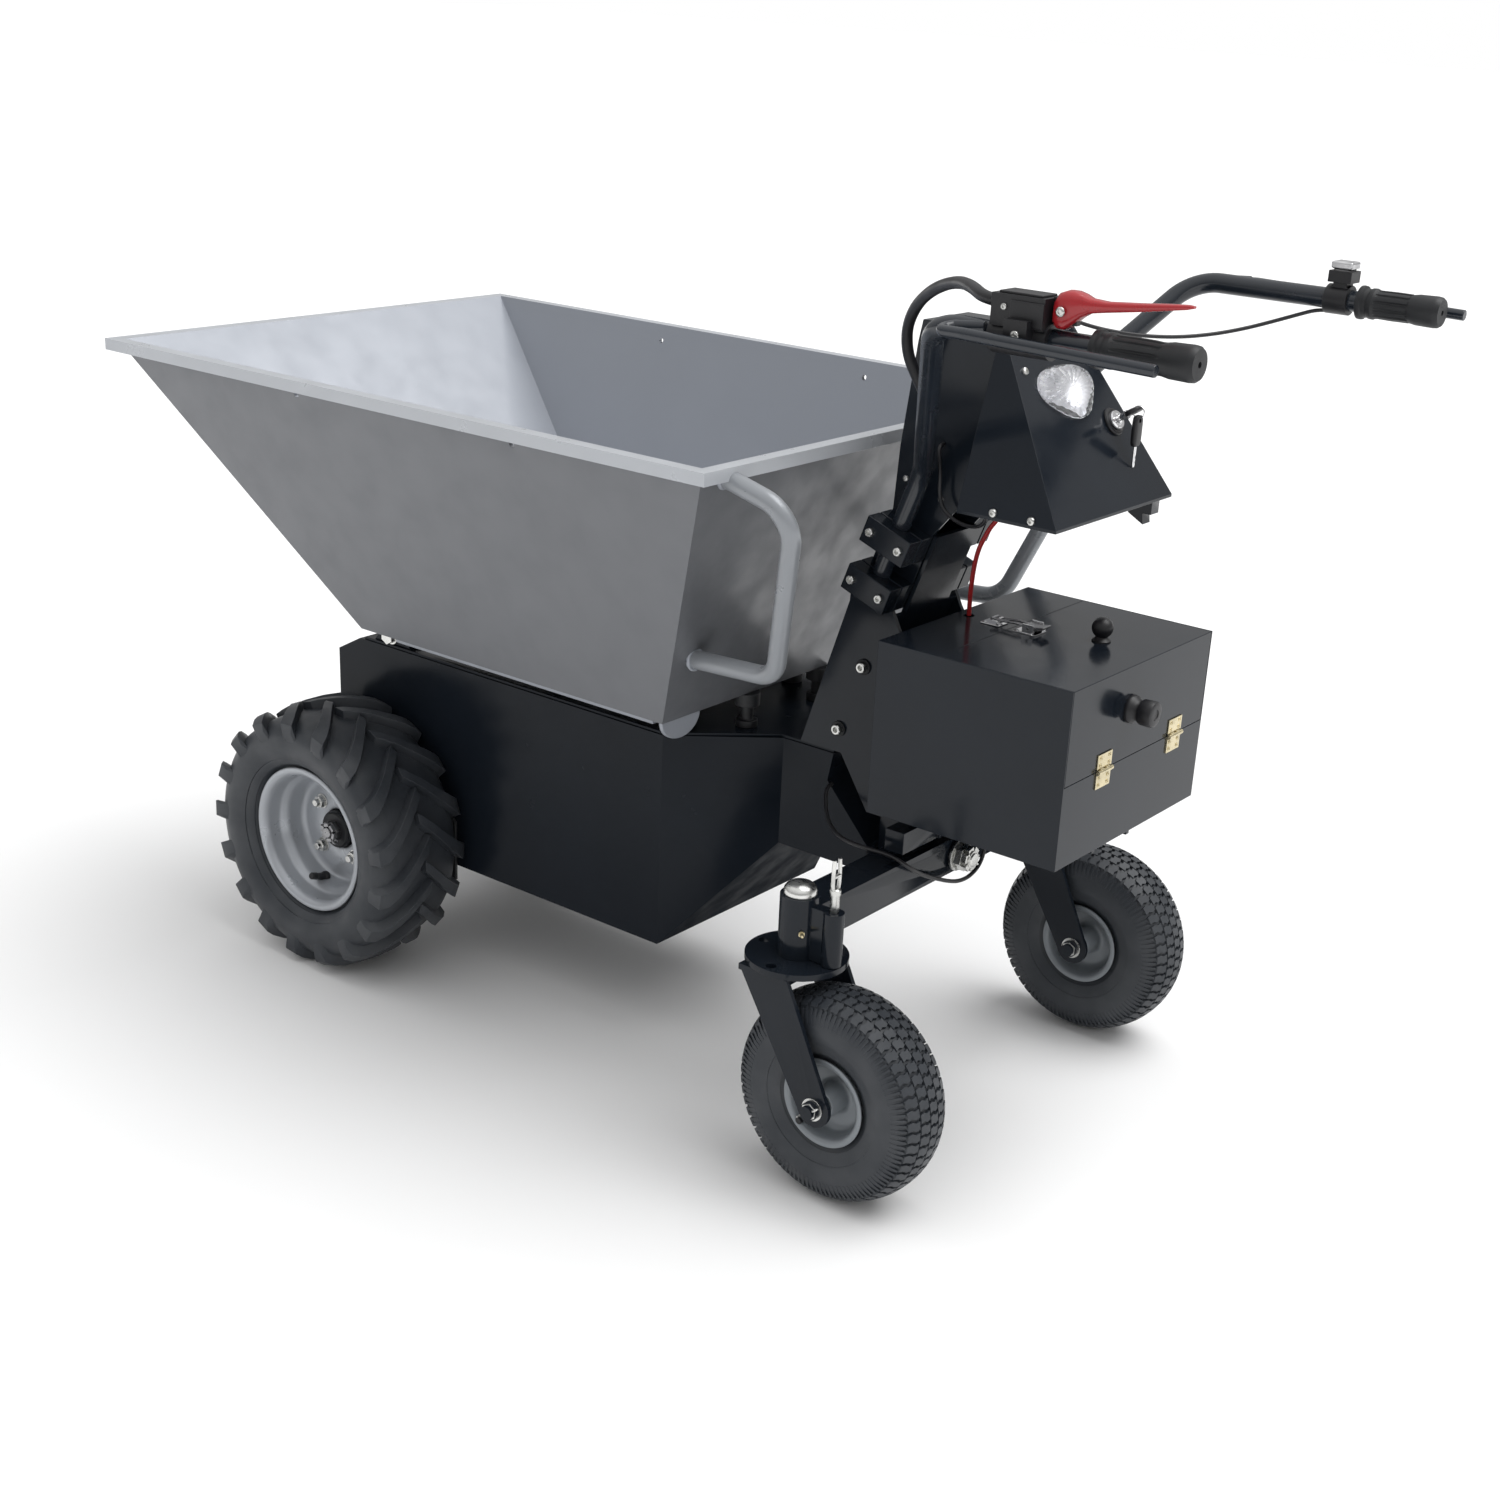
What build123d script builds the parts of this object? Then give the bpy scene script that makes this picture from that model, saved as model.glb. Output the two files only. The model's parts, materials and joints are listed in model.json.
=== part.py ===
"""Power wheelbarrow: steel hopper on a driven two-wheel chassis with a rocking caster beam.

Frame: +X is forward, +Y is the machine's left, +Z is up, millimetres.
The origin is on the ground, under the middle of the whole machine.
"""
from build123d import *
import math
import os

os.makedirs("parts", exist_ok=True)

# ---------------------------------------------------------------- driving dimensions
# drive wheels
AXLE_X, AXLE_Z = 520.0, 200.0
DRIVE_R, DRIVE_W = 200.0, 165.0
DRIVE_Y = 276.0                     # wheel centre plane
DRIVE_RIM_R = 111.0                 # outside of the rim flange
SHAFT_R = 15.0
# casters
KING_X, KING_Y = -370.0, 312.0      # swivel axis
TRAIL = 80.0
CASTER_R, CASTER_W = 140.0, 96.0
CASTER_RIM_R = 59.0
CASTER_X = KING_X - TRAIL
LOCK_X = KING_X - 52.0              # axis of the swivel lock pin
KING_R = 12.0
PLATE_Z, PLATE_T = 297.0, 8.0       # swivel plate
BEAM_Z, BEAM_H = 349.0, 50.0        # rocking beam
BEAM_W = 50.0
# chassis
CH_HALF = 184.0
CH_FRONT, CH_REAR = 613.0, -35.0
CH_BOTTOM, CH_TOP = 160.0, 474.0
TAIL_HALF = 75.0
TAIL_FRONT, TAIL_REAR = -156.0, -302.0
TAIL_BOTTOM = 317.0
SHEET = 3.0
TOP_T = 4.0
# hopper
RIM_FRONT, RIM_REAR, RIM_HALF, RIM_Z = 848.0, -263.0, 395.0, 897.0
FLOOR_FRONT, FLOOR_REAR, FLOOR_HALF, FLOOR_Z = 470.0, -101.0, 264.0, 523.0
WALL = 5.0
RIM_W, RIM_H, RIM_T = 14.0, 16.0, 4.0
TIP_X, TIP_Z = 500.0, 488.0         # tipping axis, along Y
# column
LEAN = 20.0                         # degrees, top leans to the rear
CLAMP_X, CLAMP_Z = -290.0, 711.0    # middle of the lower clamps
CLAMP_STEP = 70.0                   # lower to upper clamps, along the column
TUBE_Y, TUBE_R = 75.0, 12.5
CLAMP_L, CLAMP_W, CLAMP_H = 70.0, 50.0, 36.0
# handlebar
BAR_Y, BAR_Z = 301.0, 1087.0
GRIP_START, GRIP_END = -692.0, -808.0
# control box
CB_REAR, CB_FRONT, CB_HALF = -577.0, -441.0, 141.0
CB_Z0, CB_Z1 = 848.0, 1045.0
CB_TOP_REAR, CB_TOP_HALF = -449.0, 78.0
# battery box
BB_FRONT, BB_REAR, BB_HALF = -366.0, -640.0, 175.0
BB_Z0, BB_Z1, BB_SEAM = 452.0, 677.0, 558.0
STRIP_X = -452.0                    # rear edge of the fixed top strip
GAP = 0.3                           # between bodies that move on each other

SIDES = (("left", 1), ("right", -1))


def write(piece, name):
    """Label a finished piece and write its STEP file."""
    piece.label = name
    export_step(piece, f"parts/{name}.step")


def side_plane(y):
    """XZ plane at a given y, with local x = +X and local y = +Z; its normal is -Y."""
    return Plane(origin=(0, y, 0), x_dir=(1, 0, 0), z_dir=(0, -1, 0))


def axis_plane(x, y, z, direction):
    """Plane through a point whose normal is the given direction."""
    return Plane(origin=(x, y, z), z_dir=direction)


def disc(x, y, z, direction, radius, depth):
    """Add a cylinder that starts at a point and runs along a direction."""
    with BuildSketch(axis_plane(x, y, z, direction)) as outline:
        Circle(radius)
    extrude(outline.sketch, amount=depth)


def bore(x, y, z, direction, radius, depth):
    """Cut a round hole that starts at a point and runs along a direction."""
    with BuildSketch(axis_plane(x, y, z, direction)) as outline:
        Circle(radius)
    extrude(outline.sketch, amount=depth, mode=Mode.SUBTRACT)


def block(x0, x1, y0, y1, z0, z1, mode=Mode.ADD):
    """Add (or cut) a box between two corners."""
    with BuildSketch(Plane.XY.offset(z0)) as outline:
        with Locations(((x0 + x1) / 2, (y0 + y1) / 2)):
            Rectangle(x1 - x0, y1 - y0)
    extrude(outline.sketch, amount=z1 - z0, mode=mode)


def plate(points, y0, y1, mode=Mode.ADD):
    """Add (or cut) a plate with an XZ outline between two y values."""
    with BuildSketch(side_plane(y1)) as outline:
        with BuildLine():
            Polyline(*points, close=True)
        make_face()
    extrude(outline.sketch, amount=y1 - y0, mode=mode)


def tapered(z0, box0, z1, box1, mode=Mode.ADD):
    """Add (or cut) a straight-sided taper between two level rectangles (x0, x1, half width)."""
    ends = []
    for z, (x0, x1, half) in ((z0, box0), (z1, box1)):
        with BuildSketch(Plane.XY.offset(z)) as outline:
            with Locations(((x0 + x1) / 2, 0)):
                Rectangle(x1 - x0, 2 * half)
        ends.append(outline.sketch.face())
    loft(ends, ruled=True, mode=mode)


def tube_path(points, radii):
    """Straight runs joined by tangent arcs, one radius for each inner point."""
    with BuildLine() as line:
        FilletPolyline(*points, radius=radii)
    return line.wires()[0]


def sweep_round(path, radius):
    """Add a round bar along a path."""
    with BuildSketch(Plane(origin=path @ 0, z_dir=path % 0)) as section:
        Circle(radius)
    sweep(section.sketch, path=path)


def revolved(x, z, outline):
    """Add a body of revolution about the Y axis through (x, z); outline is (y, radius)."""
    with BuildSketch(Plane(origin=(x, 0, z), x_dir=(0, 1, 0), z_dir=(1, 0, 0))) as section:
        with BuildLine():
            Polyline(*outline, close=True)
        make_face()
    revolve(section.sketch, axis=Axis((x, 0, z), (0, 1, 0)))


# ---------------------------------------------------------------- chassis
LEAN_SIN, LEAN_COS = math.sin(math.radians(LEAN)), math.cos(math.radians(LEAN))
PROFILE = [
    (CH_FRONT, CH_BOTTOM), (CH_FRONT, 444), (558, CH_TOP), (-240, CH_TOP), (-232, 430),
    (TAIL_REAR, 356), (TAIL_REAR, TAIL_BOTTOM), (TAIL_FRONT, TAIL_BOTTOM), (CH_REAR, CH_BOTTOM),
]
PLAN_HALF = [
    (CH_FRONT, CH_HALF), (CH_REAR, CH_HALF), (TAIL_FRONT, TAIL_HALF), (-340, TAIL_HALF),
]
PLAN = PLAN_HALF + [(x, -y) for x, y in reversed(PLAN_HALF)]


def hull(inset, top):
    """Chassis body: the plan outline cut by the side outline, both inset, up to a height."""
    with BuildPart() as body:
        with BuildSketch(Plane.XY.offset(100)):
            with BuildLine():
                Polyline(*PLAN, close=True)
            make_face()
            if inset:
                offset(amount=-inset, kind=Kind.INTERSECTION)
        extrude(amount=400)
        with BuildSketch(side_plane(300)):
            with BuildLine():
                Polyline(*PROFILE, close=True)
            make_face()
            if inset:
                offset(amount=-inset, kind=Kind.INTERSECTION)
        extrude(amount=600, mode=Mode.INTERSECT)
        block(-400, 700, -300, 300, top, 600, mode=Mode.SUBTRACT)
    return body.part


with BuildPart() as chassis_shell:
    add(hull(0, CH_TOP - TOP_T))
    add(hull(SHEET, CH_TOP - TOP_T), mode=Mode.SUBTRACT)
    # the lid opening in the top, inside a turned-in flange
    block(-205, 540, -60, 60, CH_TOP - 3 * TOP_T, CH_TOP, mode=Mode.SUBTRACT)
    # axle openings, and the slot that the transaxle hangs through
    for _, s in SIDES:
        bore(AXLE_X, s * (CH_HALF + 5), AXLE_Z, (0, -s, 0), 24, 20)
    block(AXLE_X - 85, AXLE_X + 85, -65, 65, CH_BOTTOM - 5, CH_BOTTOM + 8, mode=Mode.SUBTRACT)
write(chassis_shell.part, "chassis_shell")

with BuildPart() as chassis_top_plate:
    with BuildSketch(Plane.XY.offset(CH_TOP - TOP_T)):
        with BuildLine():
            Polyline((556, 182), (CH_REAR, 182), (-152, 73), (-238, 73), (-238, -73),
                     (-152, -73), (CH_REAR, -182), (556, -182), close=True)
        make_face()
    extrude(amount=TOP_T)
    # hinge ears for the hopper, one each side of each hopper lug
    for _, s in SIDES:
        for y0 in (148.0, 170.3):
            ya, yb = sorted((s * y0, s * (y0 + 8.0)))
            plate([(462, CH_TOP), (538, CH_TOP), (516, TIP_Z + 14), (484, TIP_Z + 14)], ya, yb)
            bore(TIP_X, s * 140, TIP_Z, (0, s, 0), 8.05, 50)
write(chassis_top_plate.part, "chassis_top_plate")

with BuildPart() as transaxle:
    # gear case with its cover flange, then the two axle tubes with bearing plates
    revolved(AXLE_X, AXLE_Z, [(-52, 0), (-52, 52), (-36, 72), (-6, 75), (-6, 82), (6, 82),
                              (6, 75), (36, 72), (52, 52), (52, 0)])
    for _, s in SIDES:
        disc(AXLE_X, s * 40, AXLE_Z, (0, s, 0), 22, 152)
        ya, yb = sorted((s * (CH_HALF + GAP), s * (CH_HALF + 5)))
        plate([(AXLE_X - 160, 137), (AXLE_X + 85, 137), (AXLE_X + 85, 290),
               (AXLE_X - 100, 290), (AXLE_X - 160, 230)], ya, yb)
    bore(AXLE_X, -200, AXLE_Z, (0, 1, 0), SHAFT_R + 0.05, 400)
write(transaxle.part, "transaxle")

with BuildPart() as drive_motor:
    disc(AXLE_X - 76, 0, AXLE_Z + 70, (-1, 0, 0.35), 52, 190)
    disc(AXLE_X - 64, 0, AXLE_Z + 66, (-1, 0, 0.35), 30, 20)
write(drive_motor.part, "drive_motor")

with BuildPart() as motor_controller:
    block(60, 220, -150, -50, 166, 172)
    for i in range(9):
        y = -145 + i * 11
        block(65, 215, y, y + 5, 172, 214)
    block(65, 215, -145, -55, 172, 190)
write(motor_controller.part, "motor_controller")

with BuildPart() as hopper_hinge_bolts:
    for _, s in SIDES:
        disc(TIP_X, s * 144, TIP_Z, (0, s, 0), 8, 44)
        for y, depth, radius in ((141, 7, 12.5), (178.4, 3, 13.5), (181.4, 9, 12)):
            with BuildSketch(axis_plane(TIP_X, s * y, TIP_Z, (0, s, 0))):
                if depth == 3:
                    Circle(radius)
                else:
                    RegularPolygon(radius, 6)
            extrude(amount=depth)
write(hopper_hinge_bolts.part, "hopper_hinge_bolts")

with BuildPart() as hopper_rest_posts:
    for x, half in ((-95, 80), (-20, 120)):
        for s in (1, -1):
            disc(x, s * half, CH_TOP, (0, 0, 1), 9, 30)
            disc(x, s * half, CH_TOP, (0, 0, 1), 15, 10)
            disc(x, s * half, CH_TOP + 30, (0, 0, 1), 17, FLOOR_Z - CH_TOP - 30 - GAP)
write(hopper_rest_posts.part, "hopper_rest_posts")

# ---------------------------------------------------------------- hopper
TUB_TOP = (RIM_REAR + RIM_W, RIM_FRONT - RIM_W, RIM_HALF - RIM_W)
TUB_FLOOR = (FLOOR_REAR, FLOOR_FRONT, FLOOR_HALF)
with BuildPart() as hopper_tub:
    tapered(FLOOR_Z, TUB_FLOOR, RIM_Z, TUB_TOP)
    # rolled rim: a flat flange with a turned-down lip
    block(RIM_REAR, RIM_FRONT, -RIM_HALF, RIM_HALF, RIM_Z - RIM_T, RIM_Z)
    block(RIM_REAR, RIM_FRONT, -RIM_HALF, RIM_HALF, RIM_Z - RIM_H, RIM_Z - RIM_T)
    block(RIM_REAR + RIM_T, RIM_FRONT - RIM_T, -RIM_HALF + RIM_T, RIM_HALF - RIM_T,
          RIM_Z - RIM_H, RIM_Z - RIM_T, mode=Mode.SUBTRACT)
    tapered(FLOOR_Z, TUB_FLOOR, RIM_Z - RIM_T, TUB_TOP)
    # the hollow, one sheet thickness inside
    tapered(FLOOR_Z + WALL, (FLOOR_REAR + WALL - 2, FLOOR_FRONT - WALL + 5, FLOOR_HALF - WALL + 2),
            RIM_Z + 1, (TUB_TOP[0] + WALL, TUB_TOP[1] - WALL - 1, TUB_TOP[2] - WALL),
            mode=Mode.SUBTRACT)
    # small drilled holes under the rim of the side walls
    for x in (60, 460):
        for _, s in SIDES:
            bore(x, s * 400, RIM_Z - 24, (0, -s, 0), 4, 60)
write(hopper_tub.part, "hopper_tub")

with BuildPart() as hopper_handles:
    for _, s in SIDES:
        path = tube_path([(-244, s * 338, 883), (-351, s * 339, 856), (-275, s * 259.5, 626),
                          (-130, s * 252, 617)], [42, 40])
        sweep_round(path, 12)
    # both ends are cut off one millimetre inside the tub's wall
    tapered(FLOOR_Z, (FLOOR_REAR + 1, FLOOR_FRONT, FLOOR_HALF),
            RIM_Z, (TUB_TOP[0] + 1, TUB_TOP[1], TUB_TOP[2]), mode=Mode.SUBTRACT)
write(hopper_handles.part, "hopper_handles")

with BuildPart() as hopper_lugs:
    for _, s in SIDES:
        ya, yb = sorted((s * 156.3, s * 170.0))
        plate([(430, FLOOR_Z), (468, FLOOR_Z), (536, 590), (513.2, TIP_Z - 2),
               (486.8, TIP_Z - 2)], ya, yb)
        disc(TIP_X, ya, TIP_Z, (0, 1, 0), 13.5, yb - ya)
        bore(TIP_X, s * 150, TIP_Z, (0, s, 0), 8.05, 30)
        # rounded rest tabs under the rear corners
        with BuildSketch(Plane(origin=(FLOOR_REAR, 0, 0), x_dir=(0, 1, 0), z_dir=(1, 0, 0))):
            with Locations((s * 226, FLOOR_Z)):
                Ellipse(38, 28)
            with Locations((s * 226, FLOOR_Z + 20)):
                Rectangle(90, 40, mode=Mode.SUBTRACT)
        extrude(amount=6)
        # stiffening channels under the floor
        ya, yb = sorted((s * 205, s * 235))
        block(-60, 430, ya, yb, FLOOR_Z - 18, FLOOR_Z)
write(hopper_lugs.part, "hopper_lugs")

# ---------------------------------------------------------------- rocking beam and casters
with BuildPart() as box_support:
    # block that carries the rocking pin, two uprights and the cross member above the beam
    block(-338, -302, -34, 34, 322, 378)
    for _, s in SIDES:
        ya, yb = sorted((s * 40, s * 48))
        plate([(-302, 326), (-322, 326), (-338, 386), (-398, 386), (-398, 430), (-620, 430),
               (-620, BB_Z0), (-310, BB_Z0), (-302, 380)], ya, yb)
    block(-395, -366, -129, 129, 386, 416)
    block(-310, -302, -48, 48, 326, 378)
    bore(-300, 0, BEAM_Z, (-1, 0, 0), KING_R - 0.02, 50)
write(box_support.part, "box_support")

with BuildPart() as rocker_pin:
    disc(-304, 0, BEAM_Z, (-1, 0, 0), KING_R - 0.02, 124)
    disc(BEAM_W / -2 + KING_X - 3 - GAP, 0, BEAM_Z, (-1, 0, 0), 22, 4)
    with BuildSketch(axis_plane(KING_X - BEAM_W / 2 - 7 - GAP, 0, BEAM_Z, (-1, 0, 0))):
        RegularPolygon(20, 6)
    extrude(amount=16)
    disc(KING_X - BEAM_W / 2 - 7 - GAP, 0, BEAM_Z, (-1, 0, 0), 16, 22)
write(rocker_pin.part, "rocker_pin")

with BuildPart() as rear_beam:
    block(KING_X - BEAM_W / 2, KING_X + BEAM_W / 2, -KING_Y, KING_Y,
          BEAM_Z - BEAM_H / 2, BEAM_Z + BEAM_H / 2)
    block(KING_X - BEAM_W / 2 + 4, KING_X + BEAM_W / 2 - 4, -KING_Y + 30, KING_Y - 30,
          BEAM_Z - BEAM_H / 2 + 4, BEAM_Z + BEAM_H / 2 - 4, mode=Mode.SUBTRACT)
    disc(KING_X + BEAM_W / 2 + 6, 0, BEAM_Z, (-1, 0, 0), 19, BEAM_W + 8)
    bore(KING_X + 60, 0, BEAM_Z, (-1, 0, 0), KING_R + 0.03, 120)
    for _, s in SIDES:
        disc(KING_X, s * KING_Y, PLATE_Z + PLATE_T + GAP, (0, 0, 1), 25, 80)
        disc(LOCK_X, s * KING_Y, PLATE_Z + PLATE_T + 1, (0, 0, 1), 13, 70)
        block(LOCK_X, KING_X - 10, s * KING_Y - 8, s * KING_Y + 8, PLATE_Z + PLATE_T + 1, 376)
        bore(KING_X, s * KING_Y, PLATE_Z, (0, 0, 1), KING_R + 0.05, 78)
        bore(LOCK_X, s * KING_Y, PLATE_Z, (0, 0, 1), 6.1, 100)
write(rear_beam.part, "rear_beam")

with BuildPart() as king_pin_caps:
    for _, s in SIDES:
        disc(KING_X, s * KING_Y, 385.5, (0, 0, 1), 21, 6)
        for i in range(5):
            a = math.radians(15 + 15 * i)
            disc(KING_X, s * KING_Y, 391.5, (0, 0, 1), 21 * math.cos(a), 10 * math.sin(a))
write(king_pin_caps.part, "king_pin_caps")


def caster_fork(s):
    """Swivel plate with its king pin, crown, two legs and the axle bolt."""
    with BuildPart() as fork:
        disc(KING_X, s * KING_Y, PLATE_Z, (0, 0, 1), 65, PLATE_T)
        disc(KING_X, s * KING_Y, PLATE_Z, (0, 0, 1), KING_R, 78)
        for i in range(4):
            a = math.radians(90 * i)
            bore(KING_X + 52 * math.cos(a), s * KING_Y + 52 * math.sin(a), PLATE_Z - 12,
                 (0, 0, 1), 6.6, 40)
        block(KING_X - 30, KING_X + 44, s * KING_Y - 60, s * KING_Y + 60, PLATE_Z - 8, PLATE_Z)
        for side in (1, -1):
            ya, yb = sorted((s * KING_Y + side * 54, s * KING_Y + side * 60))
            plate([(KING_X + 44, PLATE_Z), (KING_X - 30, PLATE_Z), (CASTER_X - 23, CASTER_R + 6),
                   (CASTER_X + 21, CASTER_R - 10)], ya, yb)
            with BuildSketch(side_plane(yb)):
                with Locations((CASTER_X, CASTER_R)):
                    Circle(24)
            extrude(amount=6)
            disc(CASTER_X, s * KING_Y + side * 60, CASTER_R, (0, side, 0), 12, 7)
            disc(CASTER_X, s * KING_Y + side * 67, CASTER_R, (0, side, 0), 9, 7)
        disc(CASTER_X, s * KING_Y - 60, CASTER_R, (0, 1, 0), 8, 120)
    return fork.part


def caster_tyre(s):
    """Pneumatic tyre of a caster, with square shoulders and rounded sidewalls."""
    y, w = s * KING_Y, CASTER_W / 2
    with BuildPart() as tyre:
        revolved(CASTER_X, CASTER_R, [
            (y - w * 0.66, 56), (y - w * 0.86, 70), (y - w, 96), (y - w * 0.94, 118),
            (y - w * 0.74, 132), (y - w * 0.3, CASTER_R), (y + w * 0.3, CASTER_R),
            (y + w * 0.74, 132), (y + w * 0.94, 118), (y + w, 96), (y + w * 0.86, 70),
            (y + w * 0.66, 56), (y + w * 0.5, 51), (y - w * 0.5, 51)])
    return tyre.part


def caster_rim(s):
    """Pressed steel rim with a hub tube that turns on the axle bolt."""
    y = s * KING_Y
    with BuildPart() as rim:
        revolved(CASTER_X, CASTER_R, [
            (y - 36, 50.8), (y + 36, 50.8), (y + 38, CASTER_RIM_R), (y + 41, CASTER_RIM_R),
            (y + 40, 47), (y + 12, 44), (y + 8, 19), (y + 46, 19), (y + 46, 8.05),
            (y - 46, 8.05), (y - 46, 19), (y - 8, 19), (y - 12, 44), (y - 40, 47),
            (y - 41, CASTER_RIM_R), (y - 38, CASTER_RIM_R)])
    return rim.part


def lock_pin(s):
    """Spring-loaded swivel lock pin, lifted clear of the swivel plate, with a pull fork."""
    y = s * KING_Y
    with BuildPart() as pin:
        disc(LOCK_X, y, PLATE_Z + PLATE_T + 3, (0, 0, 1), 6, 92)
        for dy in (-6, 2):
            block(LOCK_X - 3, LOCK_X + 3, y + dy, y + dy + 4, 392, 440)
        block(LOCK_X - 3, LOCK_X + 3, y - 6, y + 6, 432, 446)
    return pin.part


for side, s in SIDES:
    write(caster_fork(s), f"caster_fork_{side}")
    write(caster_tyre(s), f"caster_tyre_{side}")
    write(caster_rim(s), f"caster_rim_{side}")
    write(lock_pin(s), f"lock_pin_{side}")


# ---------------------------------------------------------------- drive wheels
def drive_tyre(s):
    """Drive tyre envelope out to the tips of the lugs."""
    half = DRIVE_W / 2
    profile = [(-0.66, 104), (-0.66, 112.5), (-0.9, 122), (-1.0, 150), (-0.97, 176),
               (-0.86, 191), (-0.5, 198),
               (0, DRIVE_R), (0.5, 198), (0.86, 191), (0.97, 176), (1.0, 150), (0.9, 122),
               (0.66, 112.5), (0.66, 104), (0.6, 100.7), (-0.6, 100.7)]
    with BuildPart() as tyre:
        revolved(AXLE_X, AXLE_Z, [(s * DRIVE_Y + k * half, r) for k, r in profile])
    return tyre.part


def drive_rim(s):
    """Deep rim: flanged barrel, disc near mid plane, centre hole and bolt holes."""
    y = s * DRIVE_Y

    def at(k):
        return y + s * k

    with BuildPart() as rim:
        revolved(AXLE_X, AXLE_Z, [
            (at(-58), DRIVE_RIM_R), (at(-62), DRIVE_RIM_R), (at(-62), 97), (at(-30), 97),
            (at(-24), 88), (at(-12), 84), (at(-8), 78), (at(-8), 30), (at(-3), 30), (at(-3), 80),
            (at(2), 84), (at(14), 86),
            (at(20), 96), (at(62), 97), (at(62), DRIVE_RIM_R), (at(58), DRIVE_RIM_R),
            (at(56), 100.6), (at(-56), 100.6)])
        for i in range(4):
            a = math.radians(45 + 90 * i)
            bore(AXLE_X + 50 * math.cos(a), at(-30), AXLE_Z + 50 * math.sin(a), (0, s, 0), 6.1, 60)
    return rim.part


def drive_hub(s):
    """Hub flange behind the disc, half shaft, wheel bolts and the axle nut."""
    y = s * DRIVE_Y
    with BuildPart() as hub:
        disc(AXLE_X, s * 60, AXLE_Z, (0, s, 0), SHAFT_R, DRIVE_Y + 22 - 60)
        disc(AXLE_X, y - s * 60, AXLE_Z, (0, s, 0), 26, 48)
        disc(AXLE_X, y - s * 18.1, AXLE_Z, (0, s, 0), 64, 10)
        disc(AXLE_X, y - s * 12, AXLE_Z, (0, s, 0), 27, 24)
        with BuildSketch(axis_plane(AXLE_X, y + s * 12, AXLE_Z, (0, s, 0))):
            RegularPolygon(17, 6)
        extrude(amount=14)
        for i in range(4):
            a = math.radians(45 + 90 * i)
            x, z = AXLE_X + 50 * math.cos(a), AXLE_Z + 50 * math.sin(a)
            disc(x, y - s * 16, z, (0, s, 0), 6, 24)
            with BuildSketch(axis_plane(x, y - s * 2.9, z, (0, s, 0))):
                RegularPolygon(10, 6)
            extrude(amount=9)
    return hub.part


for side, s in SIDES:
    write(drive_tyre(s), f"drive_tyre_{side}")
    write(drive_rim(s), f"drive_rim_{side}")
    write(drive_hub(s), f"drive_hub_{side}")

# ---------------------------------------------------------------- column
COLUMN = Plane(origin=(CLAMP_X, 0, CLAMP_Z), x_dir=(-LEAN_COS, 0, -LEAN_SIN),
               z_dir=(-LEAN_SIN, 0, LEAN_COS))


def column_plane(height):
    """Plane square to the column; local x runs to the rear, local y to the right."""
    return COLUMN.offset(height)


def column_point(along, back, y):
    """Point from a height along the column, a distance to the rear and a y value."""
    return Vector(CLAMP_X - LEAN_COS * back - LEAN_SIN * along, y,
                  CLAMP_Z - LEAN_SIN * back + LEAN_COS * along)


BRACKET_REAR = column_point(-CLAMP_H / 2 - 0.1, CLAMP_L / 2, 0)
BRACKET_FRONT = column_point(-CLAMP_H / 2 - 0.1, -CLAMP_L / 2, 0)
with BuildPart() as column_bracket:
    for _, s in SIDES:
        ya, yb = sorted((s * (TAIL_HALF - 6), s * TAIL_HALF))
        plate([(-184, CH_TOP), (-251, CH_TOP), (-298, 403), (BB_FRONT + GAP, 403),
               (BB_FRONT + GAP, 600), (-326, 664), (BRACKET_REAR.X, BRACKET_REAR.Z),
               (BRACKET_FRONT.X, BRACKET_FRONT.Z), (-250, 683)], ya, yb)
    # cross web behind the clamps, between the side plates
    with BuildSketch(column_plane(-120)):
        with Locations((38, 0)):
            Rectangle(5, 2 * (TAIL_HALF - 6))
    extrude(amount=97)
    with BuildSketch(column_plane(-24)):
        with Locations((38, 0)):
            Rectangle(5, 98)
    extrude(amount=114)
write(column_bracket.part, "column_bracket")

with BuildPart() as clamp_blocks:
    for height in (0, CLAMP_STEP):
        for _, s in SIDES:
            for y0, y1 in ((50.0, 74.0), (76.0, 100.0)):
                with BuildSketch(column_plane(height - CLAMP_H / 2)):
                    with Locations((0, -s * (y0 + y1) / 2)):
                        Rectangle(CLAMP_L, y1 - y0)
                    with Locations((0, -s * TUBE_Y)):
                        Circle(TUBE_R + 0.05, mode=Mode.SUBTRACT)
                extrude(amount=CLAMP_H)
write(clamp_blocks.part, "clamp_blocks")


def screw(point, direction, radius, grip, head):
    """Add a cap screw: shank into the part, round head outside."""
    x, y, z = point
    dx, dy, dz = direction
    disc(x, y, z, direction, radius * 1.5, head)
    disc(x, y, z, (-dx, -dy, -dz), radius, grip)


PANEL_SLOPE = (CB_TOP_REAR - CB_REAR) / (CB_Z1 - CB_Z0)
PANEL_LEN = math.hypot(1, PANEL_SLOPE)
PANEL_OUT = (-1 / PANEL_LEN, 0, PANEL_SLOPE / PANEL_LEN)


KEY_Y, KEY_Z = -74.0, 937.0
KEY_X = CB_REAR + PANEL_SLOPE * (KEY_Z - CB_Z0)
RING_R, RING_WIRE = 7.5, 0.8
RING_OUT, RING_DROP = 37.9, 4.2        # ring centre from the panel and below the key's bow


def panel_point(y, z):
    """Point on the sloping rear panel of the control box."""
    return (CB_REAR + PANEL_SLOPE * (z - CB_Z0), y, z)


def panel_plane(y, z, out=0.0):
    """Plane on the sloping panel, normal outwards, local x to the machine's right."""
    x, _, _ = panel_point(y, z)
    origin = (x + PANEL_OUT[0] * out, y, z + PANEL_OUT[2] * out)
    return Plane(origin=origin, x_dir=(0, -1, 0), z_dir=PANEL_OUT)


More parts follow.
